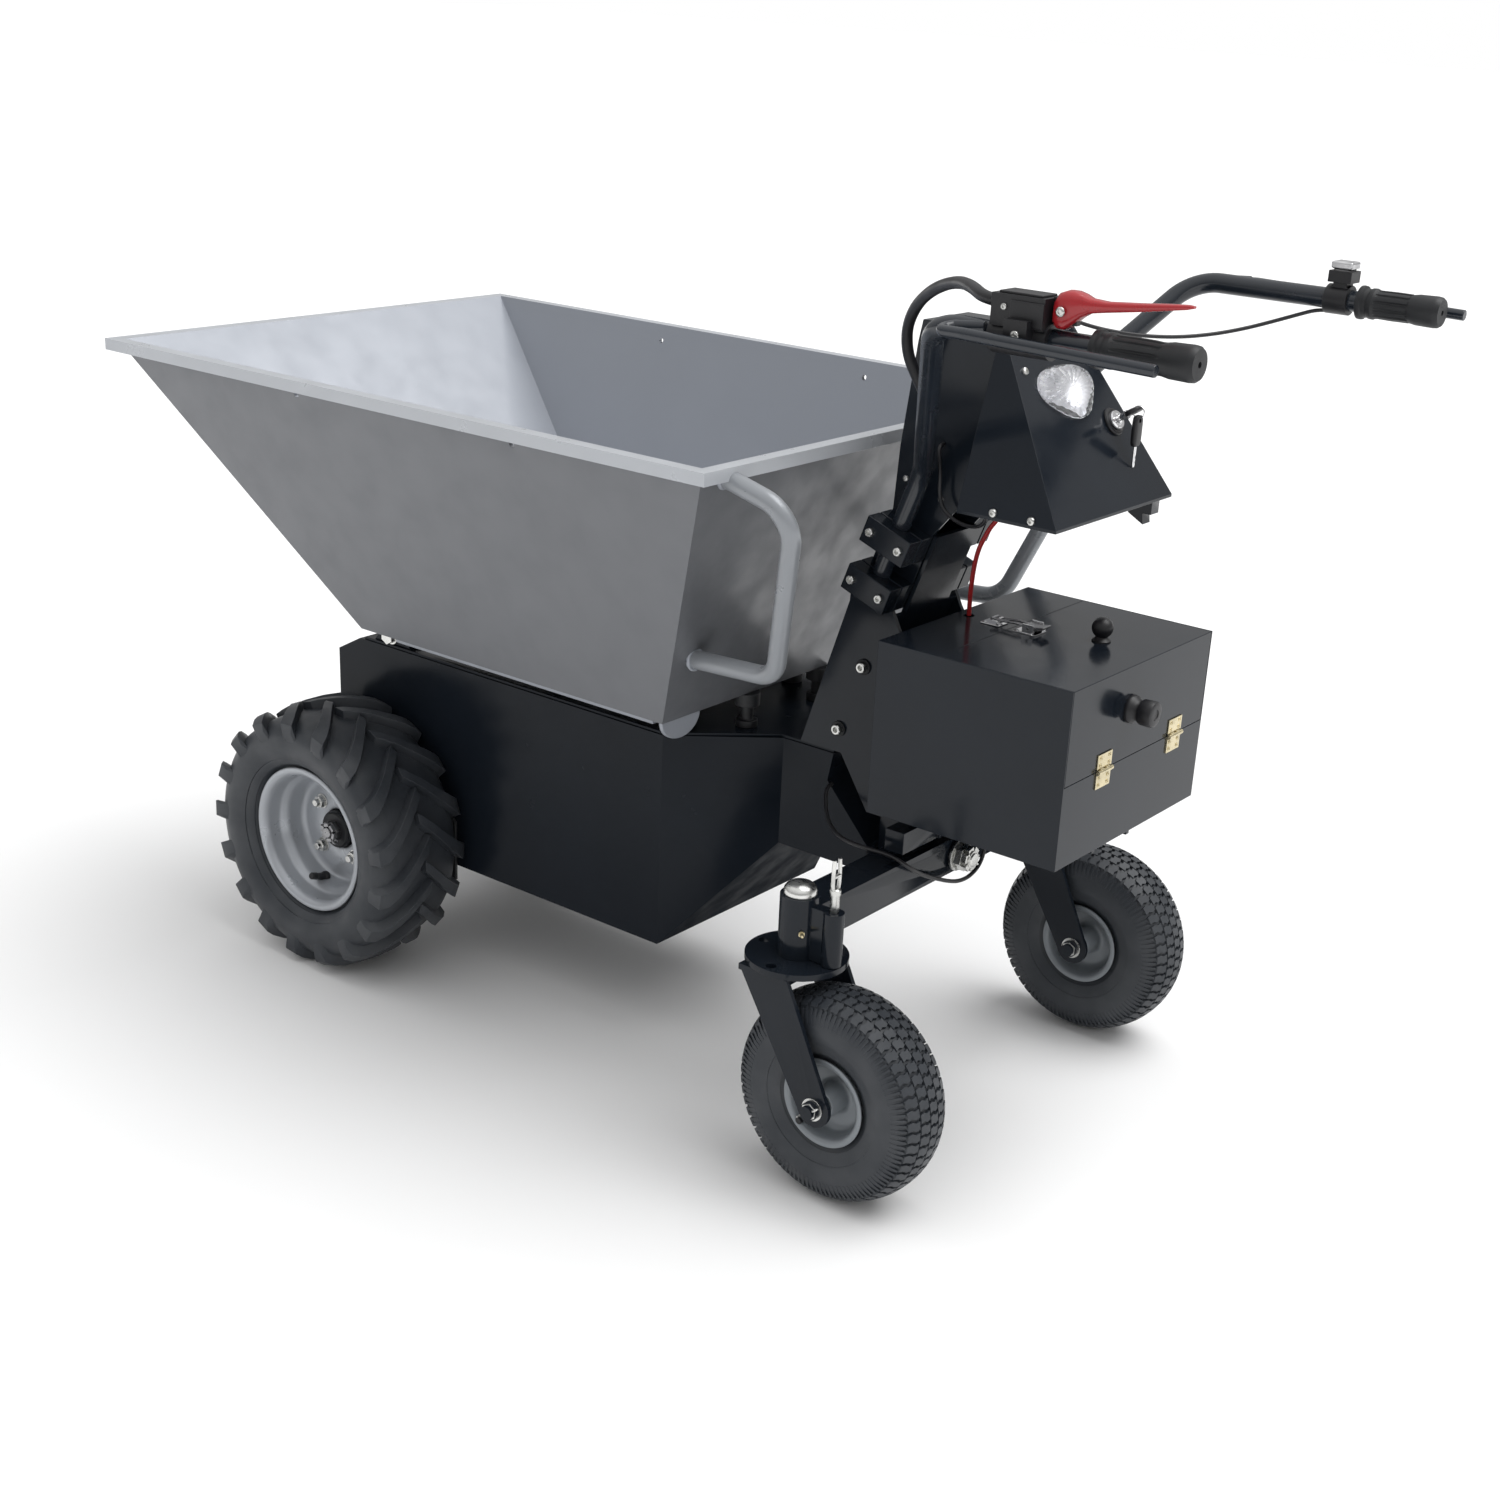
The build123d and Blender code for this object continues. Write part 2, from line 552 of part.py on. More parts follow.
def lamp_outline(out, inset):
    """Rounded triangle of the lamp, point down, on a plane off the panel."""
    with BuildSketch(panel_plane(0, 979, out)) as outline:
        for across, up, radius in ((-36, 9, 22), (40, 9, 22), (10, -20, 16)):
            with Locations((across, up)):
                Circle(radius - inset)
        make_hull(outline.edges())
    return outline.sketch


with BuildPart() as zinc_screws:
    for _, s in SIDES:
        for height in (0, CLAMP_STEP):
            for back in (-23.5, 23.5):
                screw(column_point(height, back, s * 100), (0, s, 0), 3.6, 24, 5)
        for x, z in ((-279, 600), (-246, 507)):
            screw((x, s * TAIL_HALF, z), (0, s, 0), 4.6, 6, 8)
        for x, z in ((-360, 831), (-306, 848)):
            screw((x, s * 49.9, z), (0, s, 0), 2.4, 3, 2.5)
        for x in (-491, -543):
            screw((x, s * (CB_HALF - 1.5), CB_Z0 + 5), (0, s, 0), 3, 3, 4)
        screw(panel_point(s * 69, CB_Z0 + 159), PANEL_OUT, 3, 3, 3.5)
write(zinc_screws.part, "zinc_screws")

with BuildPart() as column_head:
    # side plates that the clamps are bolted to, closed at the front and top
    low_front, low_rear = column_point(-18, -34, 0), column_point(-18, 34, 0)
    high_rear = column_point(90, 34, 0)
    plate([(low_front.X, low_front.Z), (-289, 807), (-293.5, 888), (-309, 1019), (-314, 1045),
           (CB_FRONT + 0.1, 1045), (CB_FRONT + 0.1, 845), (-385, 824),
           (high_rear.X, high_rear.Z), (low_rear.X, low_rear.Z)], -49.9, 49.9)
    plate([(low_front.X - 4, low_front.Z - 30), (-294, 807), (-299, 888), (-314.5, 1019),
           (-318.5, 1041), (-445, 1041), (-445, 700), (-380, 660)], -45, 45, mode=Mode.SUBTRACT)
write(column_head.part, "column_head")

with BuildPart() as handlebar:
    # two tubes: up the column, outwards to the hand positions, then back to the grips
    for _, s in SIDES:
        path = tube_path([column_point(-18, 0, s * TUBE_Y), column_point(166, 0, s * TUBE_Y),
                          (-494, s * BAR_Y, BAR_Z), (GRIP_END + 5, s * BAR_Y, BAR_Z)], [70, 58])
        sweep_round(path, TUBE_R)
write(handlebar.part, "handlebar")

# ---------------------------------------------------------------- controls
with BuildPart() as control_box:
    tapered(CB_Z0, (CB_REAR, CB_FRONT, CB_HALF), CB_Z1, (CB_TOP_REAR, CB_FRONT, CB_TOP_HALF))
    block(CB_REAR, CB_FRONT, -CB_HALF, CB_HALF, CB_Z0 - 4, CB_Z0)
    tapered(CB_Z0 - 1, (CB_REAR + 4, CB_FRONT - 3, CB_HALF - 3), CB_Z0, (CB_REAR + 4, CB_FRONT - 3,
            CB_HALF - 3), mode=Mode.SUBTRACT)
    tapered(CB_Z0, (CB_REAR + 4, CB_FRONT - 3, CB_HALF - 3), CB_Z1 - 8,
            (CB_TOP_REAR - 1, CB_FRONT - 3, CB_TOP_HALF - 1), mode=Mode.SUBTRACT)
    # cable hole in the floor, lamp and switch holes in the panel
    bore(-432, 12, CB_Z0 - 6, (0, 0, 1), 5, 8)
    extrude(lamp_outline(2, 4), amount=-8, mode=Mode.SUBTRACT)
    with BuildSketch(panel_plane(KEY_Y, KEY_Z, 2)):
        Circle(11)
    extrude(amount=-8, mode=Mode.SUBTRACT)
    # hook under the rear edge for the tool loop
    plate([(CB_REAR + 2, CB_Z0 - 4), (CB_REAR + 34, CB_Z0 - 4), (CB_REAR + 34, CB_Z0 - 22),
           (CB_REAR + 12, CB_Z0 - 34), (CB_REAR + 14, CB_Z0 - 20), (CB_REAR + 2, CB_Z0 - 20)],
          -114, -94)
write(control_box.part, "control_box")

with BuildPart() as headlight_reflector:
    extrude(lamp_outline(0, 4.5), amount=-22, taper=30)
    extrude(lamp_outline(0, 7), amount=-19, taper=30, mode=Mode.SUBTRACT)
write(headlight_reflector.part, "headlight_reflector")

with BuildPart() as headlight_lens:
    extrude(lamp_outline(0.2, 0), amount=9, taper=25)
write(headlight_lens.part, "headlight_lens")

with BuildPart() as key_switch:
    with BuildSketch(panel_plane(KEY_Y, KEY_Z, 0.2)):
        Circle(18)
    extrude(amount=4)
    with BuildSketch(panel_plane(KEY_Y, KEY_Z, 0.2)):
        Circle(12)
    extrude(amount=9)
    with BuildSketch(panel_plane(KEY_Y, KEY_Z, 0)):
        Circle(10.8)
    extrude(amount=-18)
    with BuildSketch(panel_plane(KEY_Y, KEY_Z, 20)):
        Circle(4.6)
    extrude(amount=-16, mode=Mode.SUBTRACT)
write(key_switch.part, "key_switch")

with BuildPart() as ignition_key:
    with BuildSketch(panel_plane(KEY_Y, KEY_Z, 5)):
        Rectangle(8, 2.4)
    extrude(amount=18)
    with BuildSketch(Plane(origin=panel_plane(KEY_Y, KEY_Z, 32).origin, x_dir=(0, -1, 0),
                           z_dir=(PANEL_OUT[2], 0, -PANEL_OUT[0]))):
        Ellipse(12, 10)
        Circle(4, mode=Mode.SUBTRACT)
    extrude(amount=1.1, both=True)
write(ignition_key.part, "ignition_key")

with BuildPart() as key_tag:
    # split ring through the bow of the key, then the spare key with a moulded head, hanging
    ring_x = KEY_X + PANEL_OUT[0] * RING_OUT - PANEL_OUT[2] * RING_DROP
    ring_z = KEY_Z + PANEL_OUT[2] * RING_OUT + PANEL_OUT[0] * RING_DROP
    with Locations((ring_x, KEY_Y, ring_z)):
        Torus(RING_R, RING_WIRE, rotation=(90, 0, 0))
    hole_z = ring_z - RING_R - 2.1
    with BuildSketch(Plane(origin=(ring_x, KEY_Y, hole_z), x_dir=(0, 1, 0), z_dir=(1, 0, 0))):
        with Locations((0, -13)):
            RectangleRounded(17, 38, 5)
        Circle(3, mode=Mode.SUBTRACT)
    extrude(amount=3.4, both=True)
    block(ring_x - 0.9, ring_x + 0.9, KEY_Y - 3, KEY_Y + 3, hole_z - 58, hole_z - 30)
write(key_tag.part, "key_tag")


def grip(s, start, end, radius, bore_radius):
    """Rubber grip: collar, tapering body, thick end, closed end cap."""
    y = s * BAR_Y
    with BuildPart() as body:
        disc(start, y, BAR_Z, (-1, 0, 0), radius + 4, 8)
        disc(start - 8, y, BAR_Z, (-1, 0, 0), radius, start - 8 - end - 28)
        disc(end + 28, y, BAR_Z, (-1, 0, 0), radius + 2.5, 28)
        bore(start + 1, y, BAR_Z, (-1, 0, 0), bore_radius, start + 1 - end - 4)
    return body.part


write(grip(1, GRIP_START, GRIP_END, 16.5, TUBE_R), "left_grip")
write(grip(-1, GRIP_START - 26, GRIP_END - 14, 16.5, TUBE_R + 0.05), "throttle_grip")

ROD_END = {1: -784.0, -1: -834.0}
with BuildPart() as guard_rods:
    for _, s in SIDES:
        path = tube_path([(-566, s * 312, 1093), (-532, s * 318, 1090), (-518, s * 336, 1086),
                          (-560, s * 345, 1088), (ROD_END[s], s * 345, 1082)], [9, 10, 14])
        sweep_round(path, 6.5)
write(guard_rods.part, "guard_rods")

LEVER_X, LEVER_Z = -655.0, 1120.0
with BuildPart() as lever_perch:
    # split collar round the bar, switch body and the tongue that holds the lever
    disc(-572, BAR_Y, BAR_Z, (-1, 0, 0), 20, 70)
    block(-640, -576, 284, 322, 1098, 1131)
    block(-628, -600, 318, 334, 1078, 1108)
    block(-668, -639, 296, 304, 1106, 1132)
    bore(-560, BAR_Y, BAR_Z, (-1, 0, 0), TUBE_R + 0.05, 100)
    bore(LEVER_X, 280, LEVER_Z, (0, 1, 0), 3.05, 40)
write(lever_perch.part, "lever_perch")

with BuildPart() as brake_lever:
    # broad forked root on both sides of the tongue, then the narrower finger blade
    plate([(-643, 1131), (-647, 1103), (-670, 1103), (-690, 1114), (-700, 1134), (-675, 1140),
           (-655, 1138)], 286, 314)
    plate([(-676, 1108), (-712, 1120), (-764, 1132), (-792, 1137), (-795, 1141), (-784, 1142.5),
           (-740, 1137), (-700, 1134), (-676, 1138)], 292, 308)
    block(-676, -640, 295.7, 304.3, 1095, 1145, mode=Mode.SUBTRACT)
    with BuildSketch(axis_plane(LEVER_X, 284, LEVER_Z, (0, 1, 0))):
        Circle(3)
    extrude(amount=32)
write(brake_lever.part, "brake_lever")

with BuildPart() as switch_housing:
    disc(-676, -BAR_Y, BAR_Z, (-1, 0, 0), 18, 30)
    block(-702, -684, -311, -291, 1098, 1111)
    block(-708, -678, -315, -287, 1108, 1122)
    bore(-660, -BAR_Y, BAR_Z, (-1, 0, 0), TUBE_R + 0.05, 60)
    block(-704, -682, -311, -291, 1114, 1123, mode=Mode.SUBTRACT)
write(switch_housing.part, "switch_housing")

with BuildPart() as horn_button:
    # rocker cap whose stem slides in the pocket of the housing
    block(-703.6, -682.4, -310.6, -291.4, 1116.4, 1125)
    block(-707, -679, -314, -288, 1125, 1133)
write(horn_button.part, "horn_button")

# ---------------------------------------------------------------- battery box
with BuildPart() as battery_box:
    block(BB_REAR, BB_FRONT, -BB_HALF, BB_HALF, BB_Z0, BB_Z1)
    block(BB_REAR + 2, BB_FRONT - 2, -BB_HALF + 2, BB_HALF - 2, BB_Z0 + 2, BB_Z1 - 2,
          mode=Mode.SUBTRACT)
    # room for the L-shaped lid: the top behind the strip and the rear above the seam
    block(BB_REAR - 1, STRIP_X, -BB_HALF + 2, BB_HALF - 2, BB_Z1 - 3, BB_Z1 + 1, mode=Mode.SUBTRACT)
    block(BB_REAR - 1, BB_REAR + 3, -BB_HALF + 2, BB_HALF - 2, BB_SEAM, BB_Z1 + 1,
          mode=Mode.SUBTRACT)
    # cable hole in the fixed strip
    bore(-384, 0, BB_Z1 - 5, (0, 0, 1), 7, 10)
write(battery_box.part, "battery_box")

LID_HALF = BB_HALF - 2 - GAP
with BuildPart() as battery_lid:
    block(BB_REAR, STRIP_X - GAP, -LID_HALF, LID_HALF, BB_Z1 - 2, BB_Z1)
    block(BB_REAR, BB_REAR + 2, -LID_HALF, LID_HALF, BB_SEAM + GAP, BB_Z1)
write(battery_lid.part, "battery_lid")

with BuildPart() as battery_pack:
    for y0, y1 in ((-160, -4), (4, 160)):
        block(-610, -400, y0, y1, BB_Z0 + 4, BB_Z0 + 170)
        for x in (-580, -430):
            disc(x, (y0 + y1) / 2, BB_Z0 + 170, (0, 0, 1), 8, 12)
write(battery_pack.part, "battery_pack")

HINGE_X, HINGE_PIN_R = BB_REAR - 3.0, 2.2
HINGE_YS = (82.0, -97.0)
with BuildPart() as hinge_leaves_lower:
    for y in HINGE_YS:
        block(BB_REAR - 1.8, BB_REAR - GAP / 3, y - 17, y + 17, BB_SEAM - 22, BB_SEAM - 3.2)
        for y0 in (y - 17, y - 3.2, y + 10.6):
            disc(HINGE_X, y0, BB_SEAM, (0, 1, 0), 3, 6.4)
            block(HINGE_X - 0.5, BB_REAR - GAP / 3, y0, y0 + 6.4, BB_SEAM - 4, BB_SEAM)
        bore(HINGE_X, y - 20, BB_SEAM, (0, 1, 0), 1.25, 40)
write(hinge_leaves_lower.part, "hinge_leaves_lower")

with BuildPart() as hinge_leaves_upper:
    for y in HINGE_YS:
        block(BB_REAR - 1.8, BB_REAR - GAP / 3, y - 17, y + 17, BB_SEAM + 3.2, BB_SEAM + 22)
        for y0 in (y - 10.3, y + 3.5):
            disc(HINGE_X, y0, BB_SEAM, (0, 1, 0), 3, 6.8)
            block(HINGE_X - 0.5, BB_REAR - GAP / 3, y0, y0 + 6.8, BB_SEAM, BB_SEAM + 4)
        disc(HINGE_X, y - 17.5, BB_SEAM, (0, 1, 0), 1.2, 35)
write(hinge_leaves_upper.part, "hinge_leaves_upper")

with BuildPart() as lid_knobs:
    # ball knob on the top, plain pull knob on the rear
    disc(-561, -28, BB_Z1, (0, 0, 1), 6, 8)
    with BuildSketch(Plane(origin=(-561, -28, BB_Z1 + 16), x_dir=(1, 0, 0), z_dir=(0, -1, 0))):
        with BuildLine():
            CenterArc((0, 0), 13, -90, 180)
            Line((0, 13), (0, -13))
        make_face()
    revolve(axis=Axis((-561, -28, BB_Z1), (0, 0, 1)))
    disc(BB_REAR, 28, 622, (-1, 0, 0), 11, 12)
    disc(BB_REAR - 12, 28, 622, (-1, 0, 0), 16, 22)
write(lid_knobs.part, "lid_knobs")

LATCH_Y = 6.0
with BuildPart() as latch_base:
    block(-494, -462, LATCH_Y - 14, LATCH_Y + 14, BB_Z1 + 0.1, BB_Z1 + 2)
    for y0, y1 in ((-13, -10.5), (10.5, 13)):
        block(-490, -474, LATCH_Y + y0, LATCH_Y + y1, BB_Z1 + 2, BB_Z1 + 13)
    bore(-482, LATCH_Y - 20, BB_Z1 + 8, (0, 1, 0), 2.05, 40)
write(latch_base.part, "latch_base")

with BuildPart() as latch_lever:
    plate([(-476, BB_Z1 + 4), (-486, BB_Z1 + 4), (-500, BB_Z1 + 8), (-501, BB_Z1 + 10.5),
           (-486, BB_Z1 + 12), (-476, BB_Z1 + 12)], LATCH_Y - 10, LATCH_Y + 10)
    disc(-482, LATCH_Y - 13.5, BB_Z1 + 8, (0, 1, 0), 2, 27)
    # sprung loop that reaches over the strip
    for dy in (-8, 5):
        block(-478, -428, LATCH_Y + dy, LATCH_Y + dy + 3, BB_Z1 + 6.5, BB_Z1 + 9.5)
    block(-428, -425, LATCH_Y - 8, LATCH_Y + 8, BB_Z1 + 6.5, BB_Z1 + 9.5)
write(latch_lever.part, "latch_lever")

with BuildPart() as latch_keeper:
    block(-440, -412, LATCH_Y - 12, LATCH_Y + 12, BB_Z1 + 0.1, BB_Z1 + 2)
    block(-437, -433, LATCH_Y - 4.5, LATCH_Y + 4.5, BB_Z1 + 2, BB_Z1 + 10)
write(latch_keeper.part, "latch_keeper")

# ---------------------------------------------------------------- cords
# Each route is a list of points chosen by hand; every corner's arc takes 0.45 of its
# shorter run on each side.
CORDS = {
    "handle_loom": (7.0, [
        (-575.9, 291, 1118), (-550, 291, 1118), (-514, 262, 1124), (-474, 222, 1121),
        (-430, 184, 1111), (-386, 150, 1094), (-348, 120, 1070), (-324, 99, 1040),
        (-318, 84, 1006), (-325, 70, 978), (-332, 60, 956), (-336, 50, 940)]),
    "battery_lead": (3.0, [
        (-432, 12, 844), (-432, 12, 834), (-428, 12, 822), (-420, 12, 810),
        (-411, 12, 798), (-404, 12, 784), (-397, 12, 768), (-391, 9, 744),
        (-387, 5, 720), (-384, 1, 700), (-384, 0, 677.2)]),
    "switch_cable": (2.4, [
        (-675, -300, 1072), (-664, -299, 1071), (-646, -290, 1064), (-622, -274, 1054),
        (-594, -250, 1043), (-566, -220, 1035), (-538, -186, 1031), (-508, -148, 1032),
        (-480, -112, 1038), (-459, -84, 1046), (-446, -64, 1055), (-434, -50, 1063),
        (-424, -42, 1066), (-416, -38, 1060), (-414, -37, 1045.4)]),
    "beam_cable": (2.8, [
        (-240, 75.1, 427), (-240, 86, 427), (-250, 102, 412), (-270, 122, 396),
        (-302, 142, 389), (-340, 153, 391), (-394, 150, 392), (-410, 136, 376),
        (-410, 100, 354), (-408, 66, 338), (-410, 36, 325), (-412, 12, 318),
        (-413, -14, 318), (-414, -36, 330), (-414, -44, 354), (-413, -40, 386),
        (-412, -34, 418), (-412, -32, 451.7)]),
    "column_cable": (2.4, [
        (-358, 50, 900), (-358, 60, 900), (-363, 65, 885), (-367, 66, 865),
        (-366, 65, 844), (-372, 65, 826), (-387, 66, 815), (-406, 69, 811),
        (-425, 73, 812), (-440, 78, 818), (-446, 80, 829), (-446, 80, 843.9)]),
}


def cord_radii(points):
    """Arc radius at each inner point: 0.45 of the shorter run over tan(half the turn)."""
    radii = []
    for a, b, c in zip(points, points[1:], points[2:]):
        first = Vector(*b) - Vector(*a)
        second = Vector(*c) - Vector(*b)
        half_turn = math.radians(first.get_angle(second)) / 2
        radii.append(0.45 * min(first.length, second.length) / math.tan(half_turn))
    return radii


for name, (radius, points) in CORDS.items():
    radii = cord_radii(points)
    path = tube_path(points, radii)
    with BuildPart() as cord:
        sweep_round(path, radius)
    ideal = math.pi * radius ** 2 * path.length
    runs = [round((Vector(*b) - Vector(*a)).length) for a, b in zip(points, points[1:])]
    print(name, "length", round(path.length), "volume ratio", round(cord.part.volume / ideal, 4),
          "min radius", round(min(radii), 1), "radii", [round(r) for r in radii], "runs", runs)
    write(cord.part, name)
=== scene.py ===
"""Looks of the power wheelbarrow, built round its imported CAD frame. Metres, +X forward, +Z up."""

import json
import math

import bmesh
import bpy
from mathutils import Matrix, Vector

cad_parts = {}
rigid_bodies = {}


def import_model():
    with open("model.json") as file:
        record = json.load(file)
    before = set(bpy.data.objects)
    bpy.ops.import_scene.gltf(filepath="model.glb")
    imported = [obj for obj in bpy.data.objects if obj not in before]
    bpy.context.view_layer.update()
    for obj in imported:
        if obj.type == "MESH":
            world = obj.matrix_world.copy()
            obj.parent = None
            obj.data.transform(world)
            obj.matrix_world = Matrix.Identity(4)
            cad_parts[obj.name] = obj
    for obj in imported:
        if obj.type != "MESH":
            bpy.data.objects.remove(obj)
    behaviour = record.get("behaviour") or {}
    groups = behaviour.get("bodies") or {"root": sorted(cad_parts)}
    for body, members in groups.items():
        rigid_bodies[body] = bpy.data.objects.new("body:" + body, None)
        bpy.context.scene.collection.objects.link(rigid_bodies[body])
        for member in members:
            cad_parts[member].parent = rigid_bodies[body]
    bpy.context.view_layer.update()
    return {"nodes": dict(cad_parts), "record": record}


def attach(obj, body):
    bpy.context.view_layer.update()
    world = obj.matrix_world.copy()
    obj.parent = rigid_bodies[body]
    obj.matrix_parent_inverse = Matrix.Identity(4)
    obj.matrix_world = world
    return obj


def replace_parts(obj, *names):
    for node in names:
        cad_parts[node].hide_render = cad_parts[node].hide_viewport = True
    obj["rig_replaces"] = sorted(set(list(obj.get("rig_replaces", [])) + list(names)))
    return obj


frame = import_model()

# ------------------------------ driving dimensions (metres)
AXLE = Vector((0.52, 0.0, 0.2))
DRIVE_Y, DRIVE_HALF = 0.276, 0.0825
KING_X, KING_Y = -0.37, 0.312
CASTER_X, CASTER_R, CASTER_HALF = -0.45, 0.14, 0.048
LOCK_X = KING_X - 0.052
ROCK_Z = 0.349
BAR_Y, BAR_Z = 0.301, 1.087
LEVER_Y = 0.3
SIDES = (("left", 1), ("right", -1))

# ------------------------------ camera
CAMERA_AT = Vector((-1.71814, 2.17427, 1.41593))
CAMERA_YAW, CAMERA_PITCH, CAMERA_ROLL = -0.931848, -0.380185, 0.052963
CAMERA_LENS, CAMERA_SHIFT = 49.5055, (-0.021145, 0.0378)


def make_camera():
    """Camera off the left rear corner, half a metre above the hopper rim."""
    ahead = Vector((math.cos(CAMERA_PITCH) * math.cos(CAMERA_YAW),
                    math.cos(CAMERA_PITCH) * math.sin(CAMERA_YAW), math.sin(CAMERA_PITCH)))
    level = ahead.cross(Vector((0, 0, 1))).normalized()
    above = level.cross(ahead)
    right = level * math.cos(CAMERA_ROLL) + above * math.sin(CAMERA_ROLL)
    up = above * math.cos(CAMERA_ROLL) - level * math.sin(CAMERA_ROLL)
    data = bpy.data.cameras.new("camera")
    data.sensor_fit = "HORIZONTAL"
    data.sensor_width = 36
    data.lens = CAMERA_LENS
    data.shift_x, data.shift_y = CAMERA_SHIFT
    camera = bpy.data.objects.new("camera", data)
    bpy.context.scene.collection.objects.link(camera)
    turn = Matrix((right, up, -ahead)).transposed().to_4x4()
    camera.matrix_world = Matrix.Translation(CAMERA_AT) @ turn
    bpy.context.scene.camera = camera


make_camera()


# ------------------------------ materials
def noise(tree, coords, scale, detail, stretch=None):
    """Noise value over object coordinates, optionally stretched per axis."""
    if stretch:
        mapping = tree.nodes.new("ShaderNodeMapping")
        mapping.inputs["Scale"].default_value = stretch
        tree.links.new(coords, mapping.inputs["Vector"])
        coords = mapping.outputs["Vector"]
    node = tree.nodes.new("ShaderNodeTexNoise")
    node.inputs["Scale"].default_value = scale
    node.inputs["Detail"].default_value = detail
    tree.links.new(coords, node.inputs["Vector"])
    return node.outputs["Fac"]


def ramp(tree, value, stops):
    """Colour ramp: stops are (position, colour or grey)."""
    node = tree.nodes.new("ShaderNodeValToRGB")
    while len(node.color_ramp.elements) < len(stops):
        node.color_ramp.elements.new(0.5)
    for element, (position, colour) in zip(node.color_ramp.elements, stops):
        element.position = position
        grey = isinstance(colour, (int, float))
        element.color = (colour, colour, colour, 1) if grey else (*colour, 1)
    tree.links.new(value, node.inputs["Fac"])
    return node.outputs["Color"]


def shade(colour, factor):
    """A colour made lighter or darker."""
    return tuple(min(1.0, c * factor) for c in colour)


def surface(name, tone, gloss, reliefs, values):
    """Procedural material over object coordinates.

    tone and gloss are (noise scale, detail, ramp stops), reliefs are (noise scale, detail,
    stretch, strength, distance) and values are constants for the shader's own sockets.
    """
    mat = bpy.data.materials.new(name)
    mat.use_nodes = True
    tree = mat.node_tree
    shader = tree.nodes["Principled BSDF"]
    coords = tree.nodes.new("ShaderNodeTexCoord").outputs["Object"]
    for socket, layer in (("Base Color", tone), ("Roughness", gloss)):
        if layer:
            scale, detail, stops = layer
            tree.links.new(ramp(tree, noise(tree, coords, scale, detail), stops),
                           shader.inputs[socket])
    for socket, value in values.items():
        shader.inputs[socket].default_value = value
    normal = None
    for scale, detail, stretch, strength, distance in reliefs:
        node = tree.nodes.new("ShaderNodeBump")
        node.inputs["Strength"].default_value = strength
        node.inputs["Distance"].default_value = distance
        tree.links.new(noise(tree, coords, scale, detail, stretch), node.inputs["Height"])
        if normal:
            tree.links.new(normal, node.inputs["Normal"])
        normal = node.outputs["Normal"]
    if normal:
        tree.links.new(normal, shader.inputs["Normal"])
    return mat


def paint(name, colour, rough=0.3, coat=0.6, metallic=0.0, peel=0.05, spread=0.12, shine=0.5):
    """Powder coat or paint: faint colour drift, orange peel and uneven gloss."""
    return surface(name,
                   (6, 5, [(0.3, shade(colour, 1 - spread)), (0.7, shade(colour, 1 + spread))]),
                   (22, 6, [(0.35, rough * 0.8), (0.7, rough * 1.25)]),
                   [(420, 2, None, peel, 0.0004), (9, 2, None, peel, 0.004)],
                   {"Metallic": metallic, "Specular IOR Level": shine, "Coat Weight": coat,
                    "Coat Roughness": 0.12})


def metal(name, colour, rough=0.3, stretch=(1, 1, 1), grain=900, depth=0.08, spread=0.1):
    """Bare or plated metal with fine grain, stains and uneven shine."""
    return surface(name,
                   (45, 8, [(0.3, shade(colour, 1 - spread * 1.8)),
                            (0.65, shade(colour, 1 + spread))]),
                   (80, 6, [(0.3, rough * 0.7), (0.7, rough * 1.4)]),
                   [(grain, 3, stretch, depth, 0.0003)], {"Metallic": 1.0})


def rubber(name, colour, rough=0.6, grain=700, dust=0.35):
    """Rubber or moulded plastic: fine leathery grain, pale dust in patches."""
    return surface(name, (14, 7, [(0.4, colour), (0.75, tuple(c + dust * 0.05 for c in colour))]),
                   (30, 6, [(0.3, rough * 0.85), (0.7, rough * 1.2)]),
                   [(grain, 4, None, 0.25, 0.0004)], {"Specular IOR Level": 0.45})


def glass(name):
    """Clear moulded polycarbonate with fine flow marks."""
    return surface(name, (60, 3, [(0.3, (0.93, 0.95, 0.97)), (0.7, (1, 1, 1))]), None,
                   [(240, 2, None, 0.05, 0.0004)],
                   {"Transmission Weight": 0.92, "Roughness": 0.06, "IOR": 1.49})


DARK = (0.0085, 0.0115, 0.0165)
